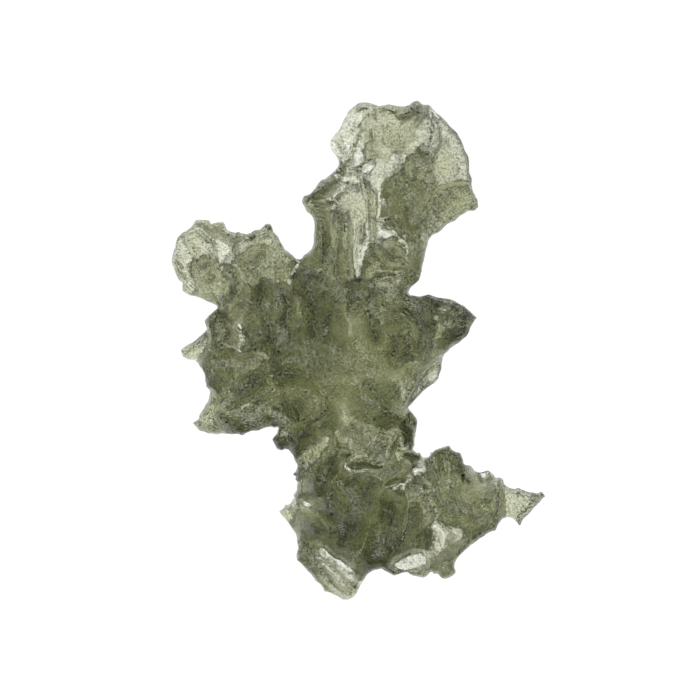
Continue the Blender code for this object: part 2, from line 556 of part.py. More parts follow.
def thinned(data, faces):
    """The mesh with about that many triangles left, most of them where the surface bends."""
    full = bpy.data.objects.new("full", data)
    bpy.context.scene.collection.objects.link(full)
    triangles = sum(len(face.vertices) - 2 for face in data.polygons)
    decimate = full.modifiers.new("thin out", "DECIMATE")
    decimate.ratio = faces / triangles
    graph = bpy.context.evaluated_depsgraph_get()
    light = bpy.data.meshes.new_from_object(full.evaluated_get(graph))
    bpy.data.objects.remove(full, do_unlink=True)
    return light


def mend_slivers(mesh):
    """Joins points that nearly meet and turns the long edge of each face that is nearly a line."""
    bmesh.ops.remove_doubles(mesh, verts=mesh.verts, dist=THINNEST_FACE)
    for _ in range(SLIVER_ROUNDS):
        turning = set()
        for face in mesh.faces:
            longest = max(face.edges, key=lambda edge: edge.calc_length())
            beside = {edge for other in longest.link_faces for edge in other.edges}
            if 2 * face.calc_area() < THINNEST_FACE * longest.calc_length() and not beside & turning:
                turning.add(longest)
        bmesh.ops.rotate_edges(mesh, edges=list(turning))


def cut_rest_spot(data):
    """Cuts the belly off level with the surface that the stone lies on."""
    mesh = bmesh.new()
    mesh.from_mesh(data)
    geometry = mesh.verts[:] + mesh.edges[:] + mesh.faces[:]
    bmesh.ops.bisect_plane(mesh, geom=geometry, plane_co=(0, 0, 0), plane_no=(0, 0, 1), clear_inner=True)
    rim = [edge for edge in mesh.edges if edge.is_boundary]
    cap = bmesh.ops.holes_fill(mesh, edges=rim, sides=0)["faces"]
    for vert in {vert for face in cap for vert in face.verts}:
        vert.co.z = 0
    bmesh.ops.triangulate(mesh, faces=mesh.faces[:])
    mend_slivers(mesh)
    bmesh.ops.recalc_face_normals(mesh, faces=mesh.faces[:])
    mesh.to_mesh(data)
    mesh.free()


def green_glass():
    """The stone's plain glass: olive green, frosted, and part see-through."""
    material = bpy.data.materials.new("moldavite_glass")
    material.use_nodes = True
    shader = material.node_tree.nodes["Principled BSDF"]
    shader.inputs["Base Color"].default_value = (0.235, 0.255, 0.14, 1)
    shader.inputs["Roughness"].default_value = 0.35
    shader.inputs["Metallic"].default_value = 0.0
    shader.inputs["Transmission Weight"].default_value = 0.8
    shader.inputs["IOR"].default_value = 1.49
    return material


def main():
    for obj in list(bpy.data.objects):
        bpy.data.objects.remove(obj, do_unlink=True)
    outline = on_plan(OUTLINE)
    skin = even_skin(blank_mesh("blank", outline, SPACING), SKIN_CELL)
    hollow_sides(skin)
    stone = thinned(skin, FACES_LEFT)
    cut_rest_spot(stone)
    stone.name = "moldavite"
    stone.materials.append(green_glass())
    bpy.context.scene.collection.objects.link(bpy.data.objects.new("moldavite", stone))


main()
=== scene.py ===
# %% [markdown]
# # A moldavite
#
# A moldavite is a piece of natural green glass: rock that a meteorite melted and threw through the air,
# and that acids in the soil then etched for millions of years. This one is flat and ragged, with lobes,
# thin shards and a pitted, ridged skin. The camera looks straight down on it, and a white table glows
# under it, so the glass is dark where it is thick and nearly clear at the shards.
#
# Natural glass has no parts to assemble. It could be sculpted by hand, or grown from a scan. Here it is
# built from a few things that can be named: an outline, the thickness of the glass from place to place,
# the ridges and grooves that can be pointed at, and a skin of small etched bowls.

# %% Load the frame that the stone has to fit
import math

import bmesh
import bpy
import numpy as np
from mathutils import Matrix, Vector
from mathutils.geometry import delaunay_2d_cdt


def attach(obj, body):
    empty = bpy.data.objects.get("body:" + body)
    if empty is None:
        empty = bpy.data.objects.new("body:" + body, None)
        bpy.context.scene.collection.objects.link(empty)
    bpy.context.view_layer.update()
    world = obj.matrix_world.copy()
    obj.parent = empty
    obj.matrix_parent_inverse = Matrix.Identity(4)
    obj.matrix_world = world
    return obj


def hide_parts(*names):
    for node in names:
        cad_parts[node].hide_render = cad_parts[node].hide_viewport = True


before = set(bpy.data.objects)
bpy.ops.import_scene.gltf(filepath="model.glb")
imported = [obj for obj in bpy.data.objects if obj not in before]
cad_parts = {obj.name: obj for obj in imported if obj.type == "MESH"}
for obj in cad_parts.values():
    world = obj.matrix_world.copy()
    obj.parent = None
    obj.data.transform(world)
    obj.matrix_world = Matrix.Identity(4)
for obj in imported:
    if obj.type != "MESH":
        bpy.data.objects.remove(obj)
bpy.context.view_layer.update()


MM = 0.001

# %% [markdown]
# ## The plan
#
# The stone is drawn flat first, as it is seen from above. The plan's x runs to the right and its y runs
# down, and one unit of it is 0.08 mm on the real stone, which makes the stone about 40 mm long. Working
# on a plan keeps every lobe, ridge and pit at a place that can be checked against the real thing.

# %% Turn places on the plan into metres
PLAN_UNIT = 0.08 * MM
PLAN_MIDDLE = (358.5, 350.5)


def on_plan(points):
    """Plan points in metres, x to the right and y up, with the middle of the outline at the origin."""
    return (np.atleast_2d(np.array(points, float)) - PLAN_MIDDLE) * (PLAN_UNIT, -PLAN_UNIT)


print("the plan's first corner, mm:", (on_plan([(0, 0)])[0] / MM).round(1))

# %% [markdown]
# ## The outline
#
# The broken edge is what tells one moldavite from another, so it is drawn point by point, clockwise, in
# stretches named for the lobe that each one goes round. A smooth curve would round off the small teeth,
# so the points are joined by straight runs, as a chipped edge is.

# %% The outline of the crown and its fin
CROWN = [
    (338, 167), (339, 162), (336, 156), (331, 150), (330, 145), (331, 140), (335, 134), (339, 130),
    (342, 125), (345, 118), (349, 111), (353, 107), (358, 104), (364, 103), (371, 104), (379, 106),
    (389, 105), (399, 107), (409, 106), (413, 103), (417, 101), (420, 103), (423, 106),
]
FIN = [
    (428, 105), (432, 108), (436, 113), (443, 118), (451, 127), (457, 133), (461, 140), (465, 150),
    (468, 157), (469, 165), (469, 172), (472, 179), (471, 185), (474, 193), (477, 200), (478, 207),
    (475, 210), (467, 211), (460, 216), (455, 220), (447, 224), (442, 230), (437, 233), (432, 235),
]
print("crown and fin:", len(CROWN + FIN), "points")

# %% The outline down the right side, to the arm's tip
NECK_RIGHT = [
    (429, 240), (427, 245), (425, 252), (423, 262), (420, 276), (418, 281), (414, 284), (410, 287),
    (408, 292), (409, 295),
]
WEDGE = [
    (413, 296), (420, 297), (429, 295), (437, 298), (444, 299), (450, 300), (456, 302), (463, 306),
    (469, 311), (473, 315), (476, 318), (473, 322), (470, 327), (468, 332), (465, 337), (460, 341),
    (454, 345), (449, 348), (446, 353), (443, 358),
]
WEDGE_SHARD = [
    (442, 362), (442, 367), (440, 372), (439, 378), (436, 382), (431, 385), (426, 389), (420, 394),
    (414, 401), (408, 408),
]
WAIST_RIGHT = [
    (412, 413), (416, 418), (417, 421), (416, 429), (415, 434), (414, 444), (412, 449), (416, 453),
    (420, 453), (422, 457), (425, 458), (429, 457),
]
ARM = [
    (431, 453), (436, 450), (442, 448), (449, 446), (451, 450), (456, 452), (460, 453), (462, 458),
    (463, 465), (466, 465), (471, 466), (473, 469), (477, 472), (480, 473), (484, 472), (488, 470),
    (491, 472), (494, 476), (496, 479), (499, 477), (502, 479), (504, 484), (508, 487),
]
ARM_TIP = [
    (514, 489), (519, 488), (525, 491), (530, 492), (538, 493), (541, 491), (545, 496), (541, 500),
    (536, 505), (531, 511), (527, 515), (523, 518), (520, 525), (517, 522), (513, 518), (507, 517),
]
RIGHT_SIDE = NECK_RIGHT + WEDGE + WEDGE_SHARD + WAIST_RIGHT + ARM + ARM_TIP
print("right side:", len(RIGHT_SIDE), "points")

# %% The outline under the arm and round the foot
ARM_UNDER = [
    (501, 519), (498, 523), (495, 530), (489, 531), (484, 535), (478, 538), (471, 544), (465, 549),
    (459, 555), (455, 561), (454, 566), (455, 572), (452, 575), (448, 577), (445, 578), (441, 577),
    (439, 574), (436, 572), (434, 574), (433, 571), (430, 571),
]
WINDOW_EDGE = [
    (427, 575), (423, 577), (417, 576), (411, 574), (407, 572), (400, 573), (394, 575), (389, 572),
    (385, 570), (381, 567), (378, 568), (372, 570),
]
FOOT = [
    (368, 572), (364, 578), (360, 585), (356, 594), (352, 598), (347, 600), (342, 599), (337, 596),
    (332, 593), (325, 591), (323, 587), (320, 583), (316, 580), (311, 573), (305, 567), (300, 561),
    (297, 559), (297, 554), (299, 548), (298, 541),
]
SIDE_SHARD = [
    (296, 534), (291, 527), (286, 520), (281, 514), (279, 512), (283, 509), (286, 505), (289, 506),
    (292, 502), (295, 498),
]
WAIST_LEFT = [
    (294, 494), (297, 490), (298, 482), (295, 479), (297, 476), (293, 474), (296, 472), (297, 469),
    (298, 465), (296, 461), (293, 455), (290, 449), (285, 448), (281, 450), (277, 448), (275, 443),
    (273, 439), (277, 434), (279, 428), (278, 426),
]
UNDER_SIDE = ARM_UNDER + WINDOW_EDGE + FOOT + SIDE_SHARD + WAIST_LEFT
print("under side:", len(UNDER_SIDE), "points")

# %% The outline up the left side, round the paw and back to the crown
BELLY_EDGE = [
    (275, 427), (271, 426), (265, 427), (258, 430), (252, 430), (247, 432), (242, 435), (239, 433),
    (233, 434), (228, 433), (222, 433), (216, 434), (208, 433), (203, 431),
]
CORNER_SHARD = [
    (198, 430), (196, 426), (193, 423), (195, 422), (198, 420), (200, 414), (204, 409), (208, 402),
    (210, 396), (210, 390), (207, 387), (206, 381), (205, 374), (203, 370),
]
LEFT_SPIKE = [
    (200, 365), (196, 361), (193, 360), (188, 359), (183, 356), (181, 352), (180, 350), (182, 349),
    (186, 346), (191, 343), (197, 339), (202, 334), (208, 330),
]
SHOULDER = [(206, 325), (205, 321), (209, 316), (214, 312), (219, 307)]
PAW = [
    (213, 303), (206, 300), (198, 297), (190, 295), (186, 293), (183, 291), (183, 286), (184, 284),
    (179, 280), (176, 274), (174, 268), (172, 263), (173, 255), (175, 250), (176, 243), (178, 238),
    (182, 234), (185, 232), (189, 229), (193, 226), (196, 221), (203, 220), (209, 221), (211, 226),
    (213, 224), (217, 223), (222, 222), (224, 224), (226, 228), (228, 231), (235, 233), (241, 233),
    (247, 235), (251, 233), (256, 230), (261, 229), (264, 227), (266, 224), (270, 224), (272, 227),
    (273, 232), (278, 237), (281, 243), (285, 250), (291, 255), (296, 259),
]
NECK_LEFT = [
    (301, 260), (305, 255), (309, 253), (312, 249), (314, 243), (314, 236), (315, 230), (315, 221),
    (312, 216), (307, 211), (302, 202), (304, 197), (310, 195), (316, 188), (321, 181), (327, 178),
    (333, 173),
]
LEFT_SIDE = BELLY_EDGE + CORNER_SHARD + LEFT_SPIKE + SHOULDER + PAW + NECK_LEFT
OUTLINE = CROWN + FIN + RIGHT_SIDE + UNDER_SIDE + LEFT_SIDE
outline = on_plan(OUTLINE)
print("whole outline:", len(outline), "points,", (np.ptp(outline, axis=0) / MM).round(1), "mm")

# %% [markdown]
# ## Measuring on the plan
#
# Everything that follows asks the same few questions about a place on the plan: how far is it from a
# line, on which side, and is it inside a ring? Answering them for all places at once, with arrays, keeps
# the script fast enough to try things out.

# %% Distances from lines and rings
def smooth(t):
    """Runs from 0 to 1 as t does, level at both ends."""
    t = np.clip(t, 0, 1)
    return t * t * (3 - 2 * t)


def nearest_on_line(places, line):
    """Distance from each place to a line of straight runs, the side it is on, and how far along it."""
    lengths = np.linalg.norm(np.diff(line, axis=0), axis=1)
    gone = np.concatenate([[0], np.cumsum(lengths)])
    best = np.full(len(places), np.inf)
    side, along = np.zeros(len(places)), np.zeros(len(places))
    for a, b, length, start in zip(line[:-1], line[1:], lengths, gone):
        way = (b - a) / length
        offset = places - a
        t = np.clip(offset @ way, 0, length)
        away = np.linalg.norm(offset - t[:, None] * way, axis=1)
        closer = away < best
        best[closer] = away[closer]
        turn = way[0] * offset[:, 1] - way[1] * offset[:, 0]
        side[closer] = np.sign(turn[closer])
        along[closer] = (start + t[closer]) / gone[-1]
    return best, side, along


def inside(places, corners):
    """True for each place within the closed ring of corners."""
    found = np.zeros(len(places), bool)
    x, y = places.T
    for (x0, y0), (x1, y1) in zip(corners, np.roll(corners, -1, axis=0)):
        if y0 != y1:
            crosses = (y0 > y) != (y1 > y)
            found ^= crosses & (x < (x1 - x0) * (y - y0) / (y1 - y0) + x0)
    return found


def depth_inside(places, corners):
    """Distance of each place from a ring's edge, above zero within it."""
    away = nearest_on_line(places, np.vstack([corners, corners[:1]]))[0]
    return np.where(inside(places, corners), away, -away)


middle_depth = depth_inside(np.zeros((1, 2)), outline)[0] / MM
print("middle of the plan is", middle_depth.round(1), "mm from the edge")

# %% [markdown]
# ## How thick the glass is
#
# Thickness is what gives the stone its tones: ten millimetres of this glass are nearly black-green, and
# one is nearly clear. It could be painted as a texture, but then it would be wrong from every other side.
# So it is written down place by place, as someone would who holds the stone against a window, and
# smoothed in between.

# %% The thickness at each place, and the height of the glass's middle
# Glass at each place: plan x, plan y, thickness in mm
THICKNESS = [
    # crown and fin
    (340, 138, 2.6), (366, 104, 2.4), (355, 115, 2.0), (355, 150, 0.5), (376, 150, 4.2),
    (390, 133, 4.4), (378, 122, 3.8), (390, 113, 4.4), (410, 112, 4.8), (424, 128, 2.2),
    (430, 146, 2.0), (432, 117, 0.8), (431, 203, 2.6), (400, 160, 2.4), (418, 168, 6.2),
    (365, 172, 0.6), (346, 196, 4.0), (323, 188, 6.2), (329, 200, 2.0), (338, 176, 1.3),
    (308, 202, 5.2), (405, 190, 7.4), (383, 178, 3.4), (380, 203, 3.6), (408, 216, 11.0),
    (421, 215, 3.8), (417, 199, 9.2), (399, 216, 5.2), (358, 212, 3.2), (450, 150, 1.9),
    (312, 216, 7.2),
    # neck
    (385, 234, 2.0), (375, 228, 2.8), (330, 235, 5.4), (355, 248, 3.6), (357, 264, 2.9),
    (394, 230, 1.4), (344, 266, 7.6), (392, 258, 8.4), (422, 253, 6.4), (409, 253, 2.4),
    (416, 276, 8.0), (399, 278, 3.4), (375, 272, 5.4), (358, 278, 1.6), (324, 260, 7.2),
    (408, 291, 8.0),
    # paw
    (185, 255, 3.0), (215, 240, 1.6), (221, 264, 1.2), (190, 285, 2.6), (213, 294, 5.0),
    (245, 245, 3.4), (268, 236, 4.6), (256, 260, 6.8), (285, 262, 4.4), (235, 285, 6.2),
    (248, 282, 2.4), (262, 292, 9.3), (265, 277, 3.8), (275, 275, 6.8), (290, 300, 8.0),
    (245, 302, 8.4), (208, 272, 7.8), (235, 232, 5.6), (228, 250, 1.8), (201, 236, 3.4),
    (215, 224, 5.0), (180, 278, 3.6), (293, 288, 1.4), (296, 271, 1.0),
    # shoulder and left flank
    (212, 320, 6.8), (225, 333, 8.4), (240, 326, 1.2), (256, 328, 6.0), (266, 332, 7.4),
    (239, 351, 0.8), (248, 343, 3.4), (238, 361, 8.8), (217, 341, 2.2), (212, 353, 8.8),
    (205, 338, 1.6), (225, 370, 8.0), (268, 310, 9.8), (286, 322, 9.2), (293, 322, 4.8),
    (277, 343, 11.8), (269, 353, 3.6), (292, 345, 9.6), (250, 366, 7.0), (244, 389, 9.2),
    (247, 401, 4.2), (290, 372, 10.0), (265, 396, 6.6), (226, 405, 6.4), (250, 415, 6.4),
    (235, 425, 6.8), (275, 415, 4.6), (272, 382, 4.8), (292, 364, 6.0), (259, 379, 9.8),
    (233, 380, 4.0), (206, 384, 10.0), (297, 391, 5.0), (278, 448, 6.8), (258, 430, 7.6),
    (240, 434, 8.8), (217, 433, 7.5),
    # back and wedge
    (304, 287, 10.0), (318, 310, 12.2), (318, 334, 9.8), (335, 300, 8.4), (350, 330, 3.4),
    (335, 352, 8.2), (318, 362, 9.6), (322, 383, 8.4), (350, 370, 7.3), (375, 376, 6.0),
    (386, 300, 5.4), (348, 292, 8.2), (370, 300, 8.4), (375, 334, 10.0), (386, 340, 4.2),
    (395, 346, 9.0), (398, 320, 10.0), (421, 331, 11.6), (431, 338, 5.2), (410, 334, 5.6),
    (456, 342, 9.8), (449, 323, 6.4), (440, 309, 2.6), (464, 312, 6.0), (425, 358, 5.8),
    (412, 373, 7.4), (398, 380, 3.6), (402, 399, 3.6), (362, 345, 4.6), (301, 312, 5.2),
    (435, 297, 6.6),
    # waist
    (300, 407, 12.6), (317, 400, 4.2), (303, 433, 15.0), (294, 422, 5.8), (326, 418, 9.4),
    (286, 440, 7.2), (344, 412, 3.0), (340, 448, 10.6), (350, 440, 1.6), (375, 390, 8.4),
    (390, 410, 9.2), (370, 430, 6.4), (406, 420, 6.6), (397, 431, 4.2), (395, 445, 4.6),
    (326, 442, 2.2), (314, 446, 4.4), (313, 413, 6.4), (303, 456, 4.6), (300, 480, 4.0),
    (331, 466, 13.8), (321, 458, 3.4), (318, 486, 11.6), (362, 461, 6.6), (363, 471, 0.3),
    (380, 452, 7.6), (350, 468, 0.3), (416, 421, 7.4), (378, 418, 9.1), (386, 396, 7.0),
    # foot
    (345, 490, 7.0), (365, 488, 11.3), (394, 489, 0.2), (355, 512, 10.0), (385, 512, 12.8),
    (381, 496, 6.0), (332, 512, 12.2), (308, 502, 0.8), (318, 530, 14.5), (348, 530, 12.0),
    (390, 530, 8.4), (338, 547, 13.0), (395, 546, 11.4), (371, 561, 12.0), (362, 544, 6.4),
    (409, 519, 9.8), (305, 535, 6.4), (318, 552, 1.6), (340, 566, 0.2), (350, 573, 1.2),
    (329, 551, 1.0), (321, 560, 0.2), (324, 581, 5.6), (346, 593, 3.8), (369, 517, 6.8),
    (297, 558, 6.8), (310, 572, 7.0), (323, 520, 3.4),
    # arm
    (421, 465, 0.2), (447, 465, 7.2), (452, 492, 8.4), (420, 500, 6.0), (438, 532, 4.0),
    (455, 545, 3.0), (440, 519, 3.2), (447, 540, 3.0), (430, 545, 3.4), (430, 527, 1.8),
    (438, 552, 3.2), (470, 515, 8.6), (481, 514, 5.7), (462, 501, 6.2), (459, 529, 2.6),
    (486, 526, 8.0), (490, 496, 7.6), (483, 477, 0.2), (445, 570, 6.2), (512, 500, 1.3),
    (462, 552, 8.0), (420, 543, 7.2), (463, 482, 7.6), (411, 449, 5.4), (461, 458, 8.0),
    (440, 450, 6.2), (426, 453, 2.0), (390, 477, 8.0), (450, 510, 8.4),
]

# How high the middle of the glass lies at each place: plan x, plan y, height in mm
LEVELS = [
    (345, 372, 2.8), (350, 125, 5.4), (415, 112, 4.9), (455, 165, 3.5), (470, 205, 3.0),
    (308, 200, 5.4), (370, 215, 3.9), (190, 255, 4.9), (215, 225, 5.5), (268, 228, 4.0),
    (185, 351, 2.3), (208, 320, 5.0), (200, 425, 2.2), (240, 432, 3.8), (275, 438, 5.0),
    (470, 318, 5.5), (435, 375, 1.9), (415, 420, 4.3), (448, 452, 4.8), (490, 474, 3.3),
    (540, 495, 5.3), (490, 528, 3.8), (446, 575, 4.5), (415, 562, 3.3), (346, 594, 2.9),
    (298, 555, 4.6), (282, 512, 2.5), (300, 470, 4.4), (350, 500, 4.5), (250, 330, 3.8),
    (335, 540, 4.9), (385, 540, 4.7), (430, 340, 4.6), (346, 418, 2.4), (352, 328, 2.4),
    (398, 382, 2.4), (350, 445, 2.8), (318, 398, 2.8), (302, 430, 4.7), (302, 290, 4.6),
    (331, 465, 5.4), (405, 540, 5.4), (378, 330, 4.4), (290, 374, 4.6), (320, 484, 5.0),
]


PLACES_AT_ONCE = 20000


def between_places(places, table, reach):
    """The table's last column at each place, taken from its nearest points, smoothed over reach."""
    table = np.array(table, float)
    known = on_plan(table[:, :2])
    found = []
    for block in np.array_split(places, 1 + len(places) // PLACES_AT_ONCE):
        away = ((block[:, None] - known) ** 2).sum(axis=2)
        weight = 1 / (away + reach * reach) ** 2
        found.append((weight @ table[:, 2]) / weight.sum(axis=1))
    return np.concatenate(found)


print(len(THICKNESS), "places with a thickness,", len(LEVELS), "with a height")

# %% [markdown]
# ## Shards
#
# In a few spots the stone breaks off in a step, and a thin clear shard goes on from there. A soft
# thickness can't give that crisp line, so each shard is a ring on the plan that holds its own thickness,
# with a short cliff along its edge.

# %% The thin shards beside a ledge
# Thickness by the ledge and by the broken edge in mm, corners on the plan
SHARDS = {
    "fin": (2.9, 1.3, [
        (425, 98), (430, 115), (433, 128), (430, 150), (430, 166), (434, 182), (431, 195),
        (429, 214), (425, 240), (445, 245), (490, 215), (485, 160), (450, 105),
    ]),
    "fin's lower corner": (5.2, 3.2, [
        (431, 195), (440, 188), (455, 184), (475, 180), (490, 215), (445, 245), (425, 240), (429, 214),
    ]),
    "left spike": (1.3, 2.4, [
        (172, 352), (183, 340), (208, 322), (209, 340), (207, 349), (203, 358), (196, 370),
    ]),
    "corner": (2.7, 3.3, [
        (185, 424), (200, 404), (206, 386), (213, 391), (217, 399), (219, 408), (216, 415),
        (222, 424), (227, 440), (200, 440),
    ]),
    "wedge shard": (2.1, 1.4, [
        (452, 345), (441, 357), (430, 365), (421, 371), (418, 381), (410, 392), (404, 404),
        (404, 414), (450, 390), (455, 350),
    ]),
    "window": (0.8, 0.7, [
        (390, 566), (394, 558), (403, 553), (413, 549), (425, 549), (430, 557), (430, 567),
        (420, 570), (400, 571),
    ]),
    "arm tip": (2.3, 2.1, [
        (504, 478), (503, 492), (505, 500), (504, 509), (501, 524), (520, 535), (555, 496),
        (540, 480),
    ]),
    "side shard": (2.6, 2.4, [
        (270, 512), (290, 496), (298, 488), (298, 505), (296, 513), (297, 524), (299, 538),
        (288, 534),
    ]),
}
SHARD_ROUND = 0.4 * MM
SHARD_TAPER = 2.5 * MM
CLIFF = 0.3 * MM
print("shards:", ", ".join(SHARDS))

# %% [markdown]
# ## Ridges and grooves
#
# The acid left crests that curl round the bowls, and grooves that run between the lobes. Each is a line
# on the plan with a height, and with a reach to either side: a short reach makes a steep flank, a long
# one a gentle slope. A height below zero makes a groove.

# %% Ridges and grooves of the crown and the neck
# Height in mm, reach to the left and to the right in plan units, points along the line
CROWN_LINES = [
    (0.8, 5, 14, [
        (418, 100), (424, 116), (432, 128), (430, 150), (430, 167), (434, 182), (430, 205), (426, 236),
    ]),
    (0.9, 5, 6, [(336, 167), (350, 172), (362, 168), (371, 157), (376, 143), (373, 128)]),
    (1.2, 6, 5, [(350, 170), (362, 180), (369, 198), (371, 222), (373, 240), (380, 252)]),
    (1.0, 4, 6, [(370, 222), (384, 221), (396, 216)]),
    (1.4, 6, 7, [(302, 199), (316, 194), (326, 187), (338, 178)]),
    (1.0, 8, 8, [(396, 118), (410, 108), (422, 106)]),
    (-1.0, 9, 9, [(378, 228), (390, 242)]),
]
NECK_LINES = [
    (1.2, 6, 6, [(337, 204), (338, 232), (335, 258), (341, 288)]),
    (1.0, 6, 6, [(322, 212), (322, 240), (320, 264)]),
    (-1.0, 7, 7, [(353, 216), (354, 240), (353, 262), (357, 280)]),
    (1.6, 5, 7, [(377, 247), (386, 256), (396, 260), (406, 258)]),
    (1.0, 6, 10, [(366, 305), (366, 288), (376, 279), (392, 277), (408, 272)]),
]
print("crown and neck:", len(CROWN_LINES + NECK_LINES), "lines")

# %% Ridges and grooves of the paw, the left flank and the back
PAW_LINES = [
    (1.4, 5, 7, [(214, 268), (226, 267), (236, 273), (240, 286), (235, 298), (225, 304)]),
    (1.6, 5, 7, [(244, 268), (256, 273), (264, 285), (263, 298), (256, 307)]),
    (1.4, 5, 8, [(262, 317), (270, 327), (272, 340), (264, 348)]),
    (1.3, 6, 8, [(280, 282), (287, 294), (290, 308), (286, 322), (288, 342)]),
]
FLANK_LINES = [
    (1.2, 6, 8, [(206, 322), (212, 335), (210, 352)]),
    (1.4, 6, 7, [(221, 320), (227, 332), (222, 343), (214, 356)]),
    (1.0, 5, 8, [(250, 346), (266, 344), (282, 354)]),
    (1.4, 8, 9, [(222, 408), (238, 398), (262, 379), (292, 371), (314, 376)]),
    (-1.0, 6, 8, [(234, 380), (248, 370), (262, 366)]),
    (-1.0, 7, 7, [(262, 404), (286, 392), (302, 388)]),
    (1.3, 7, 7, [(216, 412), (228, 424), (242, 433)]),
]
BACK_LINES = [
    (1.2, 8, 8, [(306, 262), (304, 284), (312, 306), (316, 340)]),
    (1.2, 4, 6, [(332, 308), (329, 325), (326, 344)]),
    (-0.9, 8, 8, [(342, 306), (350, 330), (346, 352)]),
    (0.7, 8, 8, [(410, 298), (428, 310), (446, 322), (474, 318)]),
    (1.3, 6, 6, [(366, 310), (370, 324), (379, 345)]),
    (1.2, 7, 7, [(390, 334), (398, 346), (390, 358)]),
    (-0.9, 6, 6, [(384, 340), (389, 344)]),
    (1.2, 7, 7, [(366, 382), (378, 396), (390, 409)]),
    (1.2, 7, 7, [(370, 419), (386, 412), (400, 418)]),
]
print("paw, flank and back:", len(PAW_LINES + FLANK_LINES + BACK_LINES), "lines")

# %% Ridges and grooves of the waist, the foot and the arm
WAIST_LINES = [
    (1.5, 5, 6, [(318, 388), (326, 397), (326, 409), (316, 418), (306, 424)]),
    (-1.2, 6, 6, [(320, 434), (329, 436), (331, 450)]),
    (-1.0, 9, 9, [(338, 396), (345, 420), (352, 446)]),
    (-1.6, 6, 8, [(350, 452), (342, 468), (332, 486)]),
    (1.4, 5, 5, [(350, 463), (364, 459), (374, 464), (384, 466)]),
]
FOOT_LINES = [
    (-1.2, 4, 6, [(392, 482), (405, 484), (408, 500), (404, 520), (400, 540)]),
    (-1.2, 6, 4, [(392, 484), (380, 494), (372, 510), (367, 530), (360, 550)]),
    (-1.2, 4, 5, [(336, 482), (343, 496), (351, 511)]),
    (-1.6, 5, 7, [(302, 497), (312, 512), (324, 520), (334, 526)]),
    (-1.4, 5, 5, [(318, 543), (333, 557), (352, 572)]),
    (1.2, 4, 4, [(310, 550), (330, 568), (352, 590)]),
    (-1.2, 4, 4, [(320, 562), (338, 578), (350, 592)]),
]
ARM_LINES = [
    (1.0, 4, 12, [(431, 452), (432, 468), (436, 480)]),
    (1.2, 6, 7, [(462, 456), (464, 470), (472, 483)]),
    (1.2, 7, 9, [(500, 480), (500, 500), (494, 522)]),
    (1.1, 6, 10, [(458, 556), (472, 538), (490, 528)]),
    (-1.0, 12, 12, [(430, 518), (444, 532), (446, 552)]),
]
UPPER_LINES = CROWN_LINES + NECK_LINES + PAW_LINES + FLANK_LINES + BACK_LINES
UPPER_LINES += WAIST_LINES + FOOT_LINES + ARM_LINES
print("upper face:", len(UPPER_LINES), "lines")

# %% Thinner ones, on the crown, the neck and the paw
FINE_LINES = [
    (0.7, 4, 4, [(338, 140), (343, 149), (345, 159)]),
    (0.8, 4, 4, [(357, 113), (362, 107), (370, 109)]),
    (-0.8, 8, 8, [(360, 112), (363, 126)]),
    (-0.8, 7, 7, [(332, 138), (337, 150)]),
    (-0.6, 7, 7, [(362, 172), (377, 166)]),
    (0.8, 4, 4, [(393, 216), (399, 226), (404, 240)]),
    (0.8, 3, 3, [(402, 206), (408, 220), (411, 234)]),
    (0.7, 4, 4, [(404, 134), (412, 122), (418, 112)]),
    (0.9, 4, 4, [(310, 204), (322, 207), (335, 205)]),
    (-1.2, 5, 5, [(331, 197), (343, 191)]),
    (-0.7, 4, 4, [(329, 214), (330, 248)]),
    (0.8, 4, 4, [(347, 210), (346, 232), (349, 262), (351, 282)]),
    (0.8, 3, 3, [(388, 252), (394, 251), (398, 256)]),
    (1.0, 4, 4, [(203, 273), (208, 266), (216, 262)]),
    (-0.9, 4, 4, [(220, 277), (229, 283), (229, 296)]),
    (-0.9, 5, 5, [(244, 280), (252, 288), (250, 300)]),
    (-0.8, 3, 3, [(281, 276), (286, 283)]),
    (0.6, 4, 4, [(186, 240), (196, 250), (194, 264)]),
    (0.6, 4, 4, [(200, 232), (212, 244), (210, 254)]),
]

# %% Thinner ones, on the flank, the back and the foot
FINE_LINES += [
    (-1.2, 8, 8, [(236, 322), (243, 332)]),
    (-1.2, 6, 6, [(234, 349), (242, 354)]),
    (-0.9, 3, 3, [(303, 316), (305, 332), (302, 346)]),
    (0.9, 4, 4, [(349, 351), (353, 343), (361, 338)]),
    (1.0, 4, 4, [(402, 306), (412, 316), (420, 330)]),
    (-0.8, 3, 3, [(432, 316), (440, 322)]),
    (1.0, 4, 4, [(404, 424), (412, 430), (408, 440)]),
    (1.2, 3, 3, [(389, 457), (393, 444), (398, 431)]),
    (-1.0, 3, 3, [(394, 457), (398, 445)]),
    (-0.8, 4, 4, [(358, 470), (368, 467), (380, 471)]),
    (-0.8, 4, 4, [(252, 372), (240, 372), (232, 376)]),
    (-0.7, 3, 3, [(388, 500), (382, 520), (380, 542)]),
    (0.8, 3, 3, [(396, 498), (390, 520), (388, 546)]),
    (-0.7, 3, 3, [(418, 498), (421, 510), (420, 524)]),
    (0.8, 4, 4, [(304, 546), (322, 570), (340, 590)]),
    (-0.9, 3, 3, [(312, 570), (326, 584), (345, 597)]),
    (0.8, 3, 3, [(326, 544), (342, 556), (358, 566)]),
]
print("thinner lines:", len(FINE_LINES))

